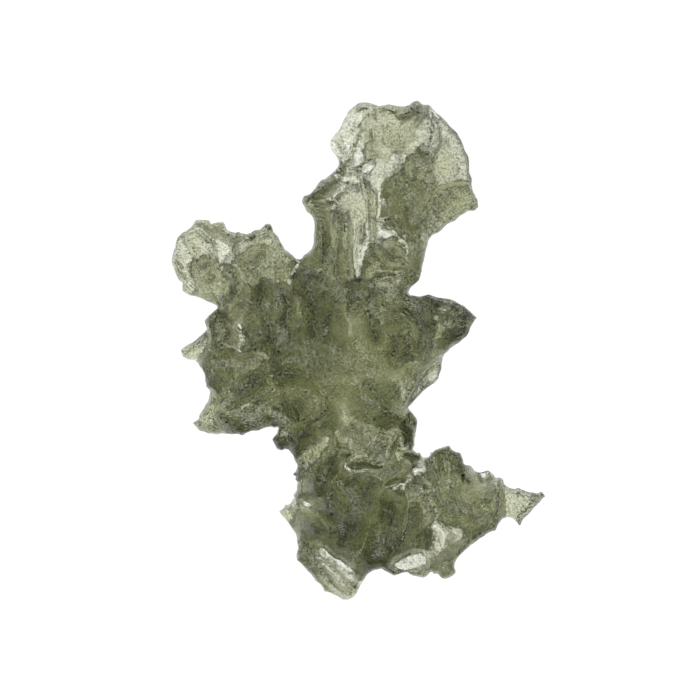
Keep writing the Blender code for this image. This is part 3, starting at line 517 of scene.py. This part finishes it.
# %% Grooves and ridges of the underside, which run out from the belly
LOWER_LINES = [
    (-1.2, 9, 14, [(352, 300), (362, 260), (380, 200), (392, 150)]),
    (-1.0, 12, 8, [(300, 330), (270, 305), (240, 285), (205, 262)]),
    (-1.0, 8, 10, [(300, 400), (268, 404), (232, 412)]),
    (-1.1, 12, 9, [(350, 440), (342, 480), (336, 530), (338, 570)]),
    (-1.0, 8, 12, [(385, 450), (420, 490), (455, 515), (500, 505)]),
    (-0.9, 8, 8, [(395, 345), (425, 332), (452, 322)]),
    (0.9, 6, 12, [(335, 190), (352, 150), (372, 120)]),
    (0.9, 10, 6, [(380, 500), (395, 540), (420, 560)]),
    (0.8, 6, 8, [(228, 320), (250, 340), (280, 350)]),
]
RIDGE_FALL = 1.4


def line_relief(places, lines):
    """Height that ridges and grooves add, each fading towards its ends."""
    total = np.zeros(len(places))
    for height, left, right, points in lines:
        away, side, along = nearest_on_line(places, on_plan(points))
        reach = np.where(side > 0, left, right) * PLAN_UNIT
        flank = np.clip(1 - away / reach, 0, 1) ** RIDGE_FALL
        total += height * MM * flank * np.sqrt(4 * along * (1 - along))
    return total


print("underside:", len(LOWER_LINES), "lines")

# %% [markdown]
# ## The etched skin
#
# Acid eats small bowls into glass, and where two bowls meet it leaves a sharp crest. A cell pattern gives
# just that: each place takes the squared distance to the nearest of many scattered middles. Layers of it
# at several sizes, from about four millimetres down to four tenths, make the skin. A slow drift bends the
# larger ones, so that no row of cells shows.

# %% Slow random drift, and bowls that meet in crests
WAVE_TABLE = 64
CREST = 0.6
CELL_MARGIN = 0.05


def wander(places, size, seed):
    """Smooth random values from -1 to 1 that change over about size metres."""
    table = np.random.default_rng(seed).uniform(-1, 1, (WAVE_TABLE, WAVE_TABLE))
    cell = places / size + WAVE_TABLE / 2
    low = np.floor(cell).astype(int)
    fx, fy = smooth(cell - low).T
    x, y = low.T % WAVE_TABLE
    right, up = (x + 1) % WAVE_TABLE, (y + 1) % WAVE_TABLE
    lower = table[x, y] * (1 - fx) + table[right, y] * fx
    upper = table[x, up] * (1 - fx) + table[right, up] * fx
    return lower * (1 - fy) + upper * fy


def scallops(places, size, seed):
    """Shallow bowls that meet in sharp crests: 0 in the middle of a bowl, up to 1 on a crest."""
    table_size = (WAVE_TABLE, WAVE_TABLE, 2)
    jitter = np.random.default_rng(seed).uniform(CELL_MARGIN, 1 - CELL_MARGIN, table_size)
    cell = places / size + WAVE_TABLE / 2
    low = np.floor(cell).astype(int)
    nearest = np.full(len(places), np.inf)
    for step in np.ndindex(3, 3):
        corner = low + step - (1, 1)
        middle = corner + jitter[tuple((corner % WAVE_TABLE).T)]
        nearest = np.minimum(nearest, ((cell - middle) ** 2).sum(axis=1))
    return np.minimum(nearest / CREST, 1)


def etching(places, layers):
    """How deep the skin is eaten away: all the layers of scallops together."""
    return sum(deep * MM * (1 - scallops(places, size * MM, seed)) for size, deep, seed in layers)


# Size of a bowl in mm, depth in mm, seed
UPPER_SCALLOPS = [(2.8, 0.3, 11), (1.3, 0.25, 12)]
LOWER_SCALLOPS = [(3.8, 0.6, 21), (1.7, 0.3, 22)]
UPPER_PITS = [(0.7, 0.2, 13), (0.38, 0.12, 14)]
LOWER_PITS = [(0.9, 0.15, 23), (0.45, 0.08, 24)]
print("layers of bowls on each face:", len(UPPER_SCALLOPS + UPPER_PITS))

# %% [markdown]
# ## The two faces
#
# Now the upper and the lower face can be worked out as heights over the plan. The lower one curves up all
# the way to the broken edge. The upper one drops only a little there, so that the rim looks crisp from
# above, and its highest peaks are held back, so that they are blunt. The lower face also swells into a
# belly, because the stone lies on that. Where the belly would go below zero it is held there, which makes
# the small flat spot that the stone rests on, and only its pits go up from it.

# %% Heights of the upper and the lower face
EDGE_HEIGHT = 0.28 * MM
EDGE_HEIGHT_MORE = 0.7 * MM
EDGE_BLUNT = 6.0 * MM
EDGE_ROUND = 0.25 * MM
EDGE_ROUND_SHARE = 0.04
RIM_DROP = 0.7 * MM
RIM_DROP_MORE = 0.7 * MM
HIGHEST = 5.0 * MM
REST_SPOT = (346, 372)
REST_RADIUS = 3.8 * MM
BELLY_CURVE = 12.0 * MM
UPPER_SHARE = 0.56
LEVEL_REACH = 2.2 * MM
THICKNESS_REACH = 0.8 * MM
FIRM = 3.5 * MM
DRIFT = 0.15 * MM
DRIFT_SIZE = 1.9 * MM
CURVE_WANDER = 0.5
CURVE_SIZE = 1.1 * MM
BLUNT_SIZE = 1.3 * MM


def drifted(places):
    """The places, each moved a little by two slow noises, so that no line or row looks ruled."""
    drift_x = wander(places, DRIFT_SIZE, seed=3)
    drift_y = wander(places, DRIFT_SIZE, seed=4)
    return places + DRIFT * np.stack([drift_x, drift_y], axis=1)


def body(places, rim):
    """Glass above and below the middle before it curves in at the rim, and the curve's width there."""
    warped = drifted(places)
    thick = between_places(warped, THICKNESS, THICKNESS_REACH) * MM
    firm = smooth(thick / FIRM)
    above = thick * UPPER_SHARE + line_relief(warped, UPPER_LINES + FINE_LINES)
    above -= etching(warped, UPPER_SCALLOPS) * firm + etching(places, UPPER_PITS)
    below = thick * (1 - UPPER_SHARE) + line_relief(warped, LOWER_LINES)
    below -= etching(warped, LOWER_SCALLOPS) * firm + etching(places, LOWER_PITS)
    curve = EDGE_ROUND + EDGE_ROUND_SHARE * thick
    curve *= 1 + CURVE_WANDER * wander(places, CURVE_SIZE, seed=7)
    for by_ledge, by_rim, corners in SHARDS.values():
        share = smooth(depth_inside(warped, on_plan(corners)) / CLIFF + 0.5)
        thin = (by_rim + (by_ledge - by_rim) * smooth(rim / SHARD_TAPER)) * MM
        above += (thin / 2 - above) * share
        below += (thin / 2 - below) * share
        curve += (SHARD_ROUND - curve) * share
    return above, below, curve


def belly(places):
    """Height of the belly round the rest spot, which is carved like the rest of the underside."""
    from_spot = np.linalg.norm(places - on_plan([REST_SPOT]), axis=1)
    skin = line_relief(places, LOWER_LINES) - etching(places, LOWER_SCALLOPS)
    round_belly = (from_spot**2 - REST_RADIUS**2) / (2 * BELLY_CURVE)
    return round_belly - skin * smooth(from_spot / REST_RADIUS - 0.5)


def blunted(height):
    """The height, held back more and more the nearer it comes to the highest that peaks can be."""
    return HIGHEST * np.tanh(height / HIGHEST)


def faces_of_stone(places, outline):
    """Heights of the upper and lower face at each place on the plan."""
    rim = np.abs(depth_inside(places, outline))
    above, below, curve = body(places, rim)
    above, below = blunted(above), blunted(below)
    swell = np.sqrt(1 - (1 - np.clip(rim / curve, 0, 1)) ** 2)
    blunt = smooth(wander(places, BLUNT_SIZE, seed=5)) * smooth((above + below) / EDGE_BLUNT)
    edge = EDGE_HEIGHT + EDGE_HEIGHT_MORE * blunt
    middle = between_places(drifted(places), LEVELS, LEVEL_REACH) * MM
    drop = np.minimum(above, RIM_DROP + RIM_DROP_MORE * blunt)
    top = middle + np.maximum(above - drop * (1 - swell), edge / 2)
    bottom = middle - np.maximum(below * swell, edge / 2)
    bottom = np.minimum(bottom, np.minimum(belly(drifted(places)), top - edge))
    return top, np.maximum(bottom, etching(places, LOWER_PITS))


top, bottom = faces_of_stone(on_plan([REST_SPOT]), outline)
print("glass over the rest spot, mm:", (top - bottom) / MM)

# %% [markdown]
# ## One closed surface
#
# The plan is filled with points, and a triangulation joins them without crossing the outline.
# The same triangles serve twice, once at the upper heights and once at the lower ones, and a strip of
# faces joins the two round the rim, so the surface is closed from the start.

# %% Triangles over the plan, raised to both faces
SPACING = 0.13 * MM
RIM_GAP = 0.55
SAME_POINT = 1e-9


def plan_points(outline, spacing):
    """Points along the outline and rows of points within it, as far apart as spacing."""
    ring = []
    for a, b in zip(outline, np.roll(outline, -1, axis=0)):
        steps = max(1, round(np.linalg.norm(b - a) / spacing))
        ring += [a + (b - a) * i / steps for i in range(steps)]
    ring = np.array(ring)
    low, high = outline.min(0), outline.max(0)
    row = spacing * math.sqrt(3) / 2
    columns = np.arange(low[0], high[0], spacing)
    rows = np.arange(low[1], high[1], row)
    grid = np.array([(x + (j % 2) * spacing / 2, y) for j, y in enumerate(rows) for x in columns])
    return ring, grid[depth_inside(grid, outline) > RIM_GAP * spacing]


def blank_mesh(name, outline, spacing):
    """One closed mesh: an upper and a lower face over the plan, and the rim between them."""
    ring, within = plan_points(outline, spacing)
    edges = [(i, (i + 1) % len(ring)) for i in range(len(ring))]
    flat = [tuple(p) for p in np.vstack([ring, within])]
    places, _, triangles, *_ = delaunay_2d_cdt(flat, edges, [], 1, SAME_POINT)
    places = np.array([tuple(p) for p in places])
    top, bottom = faces_of_stone(places, outline)
    mesh = bmesh.new()
    upper = [mesh.verts.new((*p, z)) for p, z in zip(places, top)]
    lower = [mesh.verts.new((*p, z)) for p, z in zip(places, bottom)]
    for triangle in triangles:
        mesh.faces.new([upper[i] for i in triangle])
        mesh.faces.new([lower[i] for i in reversed(triangle)])
    bmesh.ops.bridge_loops(mesh, edges=[e for e in mesh.edges if e.is_boundary])
    bmesh.ops.recalc_face_normals(mesh, faces=mesh.faces)
    data = bpy.data.meshes.new(name)
    mesh.to_mesh(data)
    mesh.free()
    return data


blank = blank_mesh("blank", outline, SPACING)
print("blank:", len(blank.polygons), "faces")

# %% [markdown]
# ## Even skin and hollow sides
#
# Seen on the plan the steep sides have hardly any points, so they would stay smooth. A voxel remesh
# spreads the points evenly over the whole surface. Then the sides are hollowed inward in soft waves, the
# way real ones are. That happens only below the rim, so the outline stays as it was drawn. Small pits
# go over the sides last.

# %% Spread the points and hollow the sides
SKIN_CELL = 0.1 * MM
UNDERCUT = 0.6 * MM
UNDERCUT_LEVEL = 1.4 * MM
UNDERCUT_SIZE = 2.0 * MM
SIDE_PIT = 0.06 * MM
SIDE_PIT_SIZE = 0.4 * MM


def even_skin(data, cell):
    """The same surface with its points evenly spread, down the sides as well."""
    blank = bpy.data.objects.new("blank", data)
    bpy.context.scene.collection.objects.link(blank)
    remesh = blank.modifiers.new("even skin", "REMESH")
    remesh.mode = "VOXEL"
    remesh.voxel_size = cell
    graph = bpy.context.evaluated_depsgraph_get()
    even = bpy.data.meshes.new_from_object(blank.evaluated_get(graph))
    bpy.data.objects.remove(blank, do_unlink=True)
    return even


def side_waves(points, normals, size):
    """Waves over the steep sides, from -1 to 1, and about 0 where the skin lies level."""
    x, y, z = points.T
    along_y = np.abs(normals[:, 0]) * wander(np.stack([y, z], axis=1), size, seed=8)
    along_x = np.abs(normals[:, 1]) * wander(np.stack([x, z], axis=1), size, seed=9)
    return along_y + along_x


def hollow_sides(mesh):
    """Hollows the sides under the rim, where it doesn't show from above, and pits them all over."""
    points, normals = np.empty((2, 3 * len(mesh.vertices)))
    mesh.vertices.foreach_get("co", points)
    mesh.vertices.foreach_get("normal", normals)
    points, normals = points.reshape(-1, 3), normals.reshape(-1, 3)
    under_rim = between_places(points[:, :2], LEVELS, LEVEL_REACH) * MM - points[:, 2]
    share = smooth(under_rim / UNDERCUT_LEVEL) * UNDERCUT
    hollow = share * (0.5 + 0.5 * side_waves(points, normals, UNDERCUT_SIZE))
    pit = SIDE_PIT * side_waves(points, normals, SIDE_PIT_SIZE)
    points[:, :2] -= normals[:, :2] * (hollow + pit)[:, None]
    mesh.vertices.foreach_set("co", points.ravel())
    mesh.update()


skin = even_skin(blank, SKIN_CELL)
hollow_sides(skin)
print("skin:", len(skin.polygons), "faces")

# %% [markdown]
# ## Thinning out
#
# A flat stretch needs few triangles and a crest needs many. The Decimate modifier sorts that out. Some
# faces still have four corners after it, so they are split, and every face ends up as a triangle.

# %% Thin the mesh out and put the stone together
FACES_LEFT = 190000


def thinned(data, faces):
    """The mesh with about that many triangles left, most of them where the surface bends."""
    full = bpy.data.objects.new("full", data)
    bpy.context.scene.collection.objects.link(full)
    triangles = sum(len(face.vertices) - 2 for face in data.polygons)
    decimate = full.modifiers.new("thin out", "DECIMATE")
    decimate.ratio = faces / triangles
    graph = bpy.context.evaluated_depsgraph_get()
    light = bpy.data.meshes.new_from_object(full.evaluated_get(graph))
    bpy.data.objects.remove(full, do_unlink=True)
    return light


def all_triangles(data):
    """Splits the faces that have four corners, and turns every face outward."""
    mesh = bmesh.new()
    mesh.from_mesh(data)
    bmesh.ops.triangulate(mesh, faces=mesh.faces[:])
    bmesh.ops.recalc_face_normals(mesh, faces=mesh.faces[:])
    mesh.to_mesh(data)
    mesh.free()


stone_mesh = thinned(skin, FACES_LEFT)
all_triangles(stone_mesh)
stone_mesh.name = "moldavite_stone"
stone_mesh.shade_smooth()
stone = bpy.data.objects.new("moldavite_stone", stone_mesh)
bpy.context.scene.collection.objects.link(stone)
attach(stone, "root")
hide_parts("moldavite")
print("stone:", len(stone_mesh.polygons), "faces")

# %% [markdown]
# ## Green glass
#
# The colour of moldavite isn't on its surface. It comes from the depth of glass that light crosses, so
# a volume absorption takes away blue most and green least. Absorption alone leaves the thick parts too
# light, because so much light leaks in from the sides, so the next step tints the skin there as well.

# %% The glass material
ABSORPTION_COLOR = (0.36, 0.395, 0.0, 1)
ABSORPTION_DENSITY = 255.0
REFRACTIVE_INDEX = 1.49
SHEEN = 0.45

glass = bpy.data.materials.new("moldavite_glass")
glass.use_nodes = True
tree = glass.node_tree
shader = tree.nodes["Principled BSDF"]
shader.inputs["IOR"].default_value = REFRACTIVE_INDEX
shader.inputs["Specular IOR Level"].default_value = SHEEN
volume = tree.nodes.new("ShaderNodeVolumeAbsorption")
volume.inputs["Color"].default_value = ABSORPTION_COLOR
volume.inputs["Density"].default_value = ABSORPTION_DENSITY
tree.links.new(volume.outputs["Volume"], tree.nodes["Material Output"].inputs["Volume"])
stone_mesh.materials.append(glass)
print("absorption per mm:", [round(ABSORPTION_DENSITY * (1 - c) * MM, 2) for c in ABSORPTION_COLOR[:3]])

# %% [markdown]
# ## Frosted skin
#
# The acid left the skin dull on the crests and cleaner down in the bowls. Where a crest runs and how deep
# the glass is are known from the shape, so both are written onto the mesh as attributes, which a material
# can read. The depth is raised at the steep rim, which paints shade there. Noises of several sizes add the
# frost's patches and its grain, whose lightest specks are painted glints. Together they drive four
# things: how rough the skin is, its tint, how much light it lets past, and a fine bump for pits too small
# to model.

# %% Mark the crests, and the depth of glass with painted shade at the rim, on the mesh
CREST_HEIGHT = 0.45 * MM
DEEPEST = 11.0 * MM
# How much the steep rim is darkened beyond its real depth: painted shade
RIM_PAINTED_SHADE = 0.6


def plan_spots(mesh):
    """Where each point of the mesh stands on the plan."""
    corners = np.empty(3 * len(mesh.vertices))
    mesh.vertices.foreach_get("co", corners)
    return corners.reshape(-1, 3)[:, :2]


def crests(spots):
    """How far each spot lies up a crest: 0 in the deepest bowls, 1 on the crests."""
    warped = drifted(spots)
    relief = line_relief(warped, UPPER_LINES + FINE_LINES)
    relief -= etching(warped, UPPER_SCALLOPS) + etching(spots, UPPER_PITS)
    return np.clip(0.5 + 0.5 * (relief - relief.mean()) / CREST_HEIGHT, 0, 1)


def depths_with_rim_shade(spots):
    """How deep the glass is with its peaks unblunted, raised at the steep rim as painted shade: 0 at
    nothing, up to 1.
    """
    rim = np.abs(depth_inside(spots, outline))
    above, below, curve = body(spots, rim)
    steep = 1 - np.clip(rim / curve, 0, 1)
    # At the steep rim the depth is raised, which paints shade there
    return np.clip((above + below) / DEEPEST * (1 + RIM_PAINTED_SHADE * steep), 0, 1)


spots = plan_spots(stone_mesh)
for name, values in (("crest", crests(spots)), ("depth_and_rim_shade", depths_with_rim_shade(spots))):
    stone_mesh.attributes.new(name, "FLOAT", "POINT").data.foreach_set("value", values)
    print(name, "from", values.min(), "to", values.max(), "on average", values.mean())

# %% Helpers that link nodes together
place = tree.nodes.new("ShaderNodeTexCoord")


def feed(socket, value):
    """Link another node's output to a socket, or set a plain value on it."""
    if isinstance(value, bpy.types.NodeSocket):
        tree.links.new(value, socket)
    else:
        socket.default_value = value


def marked(name):
    """What was marked on the mesh under that name."""
    node = tree.nodes.new("ShaderNodeAttribute")
    node.attribute_name = name
    return node.outputs["Fac"]


def noise(size, detail):
    """A noise over the stone whose features are about size metres wide."""
    node = tree.nodes.new("ShaderNodeTexNoise")
    feed(node.inputs["Scale"], 1 / size)
    feed(node.inputs["Detail"], detail)
    feed(node.inputs["Vector"], place.outputs["Object"])
    return node.outputs["Fac"]


def spread(value, low, high, to_low, to_high):
    """The value from low to high spread over to_low to to_high, and held there beyond."""
    node = tree.nodes.new("ShaderNodeMapRange")
    feed(node.inputs["Value"], value)
    feed(node.inputs["From Min"], low)
    feed(node.inputs["From Max"], high)
    feed(node.inputs["To Min"], to_low)
    feed(node.inputs["To Max"], to_high)
    return node.outputs["Result"]


def math_of(operation, a, b):
    """Two values put together by one kind of arithmetic."""
    node = tree.nodes.new("ShaderNodeMath")
    node.operation = operation
    feed(node.inputs[0], a)
    feed(node.inputs[1], b)
    return node.outputs["Value"]


def blend(factor, a, b):
    """Colour a turned into colour b as far as factor says."""
    node = tree.nodes.new("ShaderNodeMix")
    node.data_type = "RGBA"
    feed(node.inputs["Factor"], factor)
    feed(node.inputs["A"], a)
    feed(node.inputs["B"], b)
    return node.outputs["Result"]


def dimmed(color, value):
    """The colour times the value."""
    node = tree.nodes.new("ShaderNodeVectorMath")
    node.operation = "SCALE"
    feed(node.inputs["Vector"], color)
    feed(node.inputs["Scale"], value)
    return node.outputs["Vector"]


# %% Patches of frost, which make the skin rough
FROST_SIZE = 2.0 * MM
FROST_FROM = 0.5
FROST_TO = 0.8
MORE_ON_CRESTS = 0.3
CLEAN_ROUGHNESS = 0.14
FROSTED_ROUGHNESS = 0.3

crest_value = marked("crest")
patches = noise(FROST_SIZE, 3)
on_crests = math_of("MULTIPLY", crest_value, MORE_ON_CRESTS)
frost = spread(math_of("ADD", patches, on_crests), FROST_FROM, FROST_TO, 0, 1)
feed(shader.inputs["Roughness"], spread(frost, 0, 1, CLEAN_ROUGHNESS, FROSTED_ROUGHNESS))
print("frost in patches of", FROST_SIZE / MM, "mm")

# %% Tint of the skin: deep glass with painted shade at the rim, crests, and grain whose lightest specks are painted glints
GRAIN_SIZE = 0.17 * MM
GRAIN_FROM = 0.36
GRAIN_TO = 0.64
DARKEST_SPECK = -0.85
LIGHTEST_SPECK_PAINTED_GLINT = 1.0
SPECKS_UNFROSTED = 0.5
BOWL_SHADE = 1.08
CREST_SHADE = 0.78
CREST_START = 0.2
CLEAR = (0.97, 0.99, 0.85, 1)
DEEP = (0.06, 0.07, 0.03, 1)

grain = noise(GRAIN_SIZE, 2)
# The grain's specks are frost grain; its lightest ones, brighter than the glass, are painted glints
grain_speck_and_glint = spread(grain, GRAIN_FROM, GRAIN_TO, DARKEST_SPECK, LIGHTEST_SPECK_PAINTED_GLINT)
specks_and_painted_glints = math_of("MULTIPLY", grain_speck_and_glint, spread(frost, 0, 1, SPECKS_UNFROSTED, 1.0))
shade = math_of("ADD", spread(crest_value, CREST_START, 1, BOWL_SHADE, CREST_SHADE), specks_and_painted_glints)
# The depth mark darkens the tint towards DEEP, and at the steep rim it adds painted shade
feed(shader.inputs["Base Color"], dimmed(blend(marked("depth_and_rim_shade"), CLEAR, DEEP), shade))
print("grain of", GRAIN_SIZE / MM, "mm")

# %% White dust of frost, which hides a little of the glass
DUST_SIZE = 0.17 * MM
DUST_FROM = 0.45
DUST_TO = 0.65
LEAST_CLEAR = 0.86

dust = math_of("MULTIPLY", spread(noise(DUST_SIZE, 3), DUST_FROM, DUST_TO, 0, 1), frost)
feed(shader.inputs["Transmission Weight"], spread(dust, 0, 1, 1, LEAST_CLEAR))
print("where it is frosted most, it lets", LEAST_CLEAR, "of the light through")

# %% Pits too small to model, as a bump
PIT_SIZE = 0.34 * MM
PIT_DEPTH = 0.05 * MM
PIT_SOFTNESS = 0.3
GRAIN_SHARE = 1.6

pits = tree.nodes.new("ShaderNodeTexVoronoi")
pits.feature = "SMOOTH_F1"
feed(pits.inputs["Scale"], 1 / PIT_SIZE)
feed(pits.inputs["Smoothness"], PIT_SOFTNESS)
feed(pits.inputs["Vector"], place.outputs["Object"])
bump = tree.nodes.new("ShaderNodeBump")
feed(bump.inputs["Strength"], 1.0)
feed(bump.inputs["Distance"], PIT_DEPTH)
fine = math_of("MULTIPLY", grain, GRAIN_SHARE)
feed(bump.inputs["Height"], math_of("ADD", pits.outputs["Distance"], fine))
feed(shader.inputs["Normal"], bump.outputs["Normal"])
print("pits of", PIT_SIZE / MM, "mm,", PIT_DEPTH / MM, "mm deep")

# %% [markdown]
# ## Table, light and camera
#
# The stone lies on a white table that glows, as on a light box, so there is no shadow and the glass is lit
# from behind. A softer, dimmer sky above gives the frosted skin a little grey sheen. The camera is far
# away with a long lens and looks straight down, so it sees the plan nearly without perspective.

# %% A white table that glows
TABLE_SIZE = 2.0
TABLE_GLOW = 1.0
TABLE_COLOR = (0.02, 0.02, 0.02, 1)
TABLE_ROUGHNESS = 0.6

bpy.ops.mesh.primitive_plane_add(size=TABLE_SIZE)
table = bpy.context.object
table.name = "table"
white = bpy.data.materials.new("white_table")
white.use_nodes = True
white_shader = white.node_tree.nodes["Principled BSDF"]
white_shader.inputs["Base Color"].default_value = TABLE_COLOR
white_shader.inputs["Roughness"].default_value = TABLE_ROUGHNESS
white_shader.inputs["Emission Color"].default_value = (1, 1, 1, 1)
white_shader.inputs["Emission Strength"].default_value = TABLE_GLOW
table.data.materials.append(white)
print("table", TABLE_SIZE, "m wide")

# %% A sky that is white at the horizon and grey above
SKY_LOW = 0.35
SKY_HIGH = 0.15
SKY_TURN = 0.4

sky = bpy.data.worlds.new("studio_sky")
sky.use_nodes = True
sky_tree = sky.node_tree
direction = sky_tree.nodes.new("ShaderNodeTexCoord")
split = sky_tree.nodes.new("ShaderNodeSeparateXYZ")
level = sky_tree.nodes.new("ShaderNodeMapRange")
level.inputs["From Min"].default_value = 0.0
level.inputs["From Max"].default_value = SKY_TURN
level.inputs["To Min"].default_value = SKY_LOW
level.inputs["To Max"].default_value = SKY_HIGH
sky_tree.links.new(direction.outputs["Generated"], split.inputs["Vector"])
sky_tree.links.new(split.outputs["Z"], level.inputs["Value"])
sky_tree.links.new(level.outputs["Result"], sky_tree.nodes["Background"].inputs["Strength"])
sky_tree.nodes["Background"].inputs["Color"].default_value = (1, 1, 1, 1)
bpy.context.scene.world = sky
bpy.context.scene.view_settings.view_transform = "Standard"
print("sky from", SKY_LOW, "down to", SKY_HIGH)

# %% Two soft lamps
def lamp(name, at, size, power):
    """A square soft lamp that points at the stone."""
    light = bpy.data.objects.new(name, bpy.data.lights.new(name, "AREA"))
    light.data.size = size
    light.data.energy = power
    light.location = at
    light.rotation_euler = Vector(at).to_track_quat("Z", "Y").to_euler()
    bpy.context.scene.collection.objects.link(light)


lamp("key", at=(-0.2, 0.25, 0.5), size=0.4, power=3.0)
lamp("fill", at=(0.4, -0.1, 0.4), size=0.3, power=1.0)
print("lamps:", [light.name for light in bpy.data.lights])

# %% A camera that looks straight down
PICTURE_WIDTH = 700
PICTURE_MIDDLE = (350, 350)
LENS = 600
SENSOR = 36

camera = bpy.data.objects.new("camera", bpy.data.cameras.new("camera"))
camera.data.lens = LENS
camera.data.sensor_width = SENSOR
camera.data.clip_start = 0.01
camera.data.clip_end = 20
aim = on_plan([PICTURE_MIDDLE])[0]
shown = PICTURE_WIDTH * PLAN_UNIT
rim_level = np.mean([level for _, _, level in LEVELS]) * MM
camera.location = (aim[0], aim[1], rim_level + shown * LENS / SENSOR)
bpy.context.scene.collection.objects.link(camera)
bpy.context.scene.camera = camera
print("camera is", round(camera.location.z, 2), "m above the table")
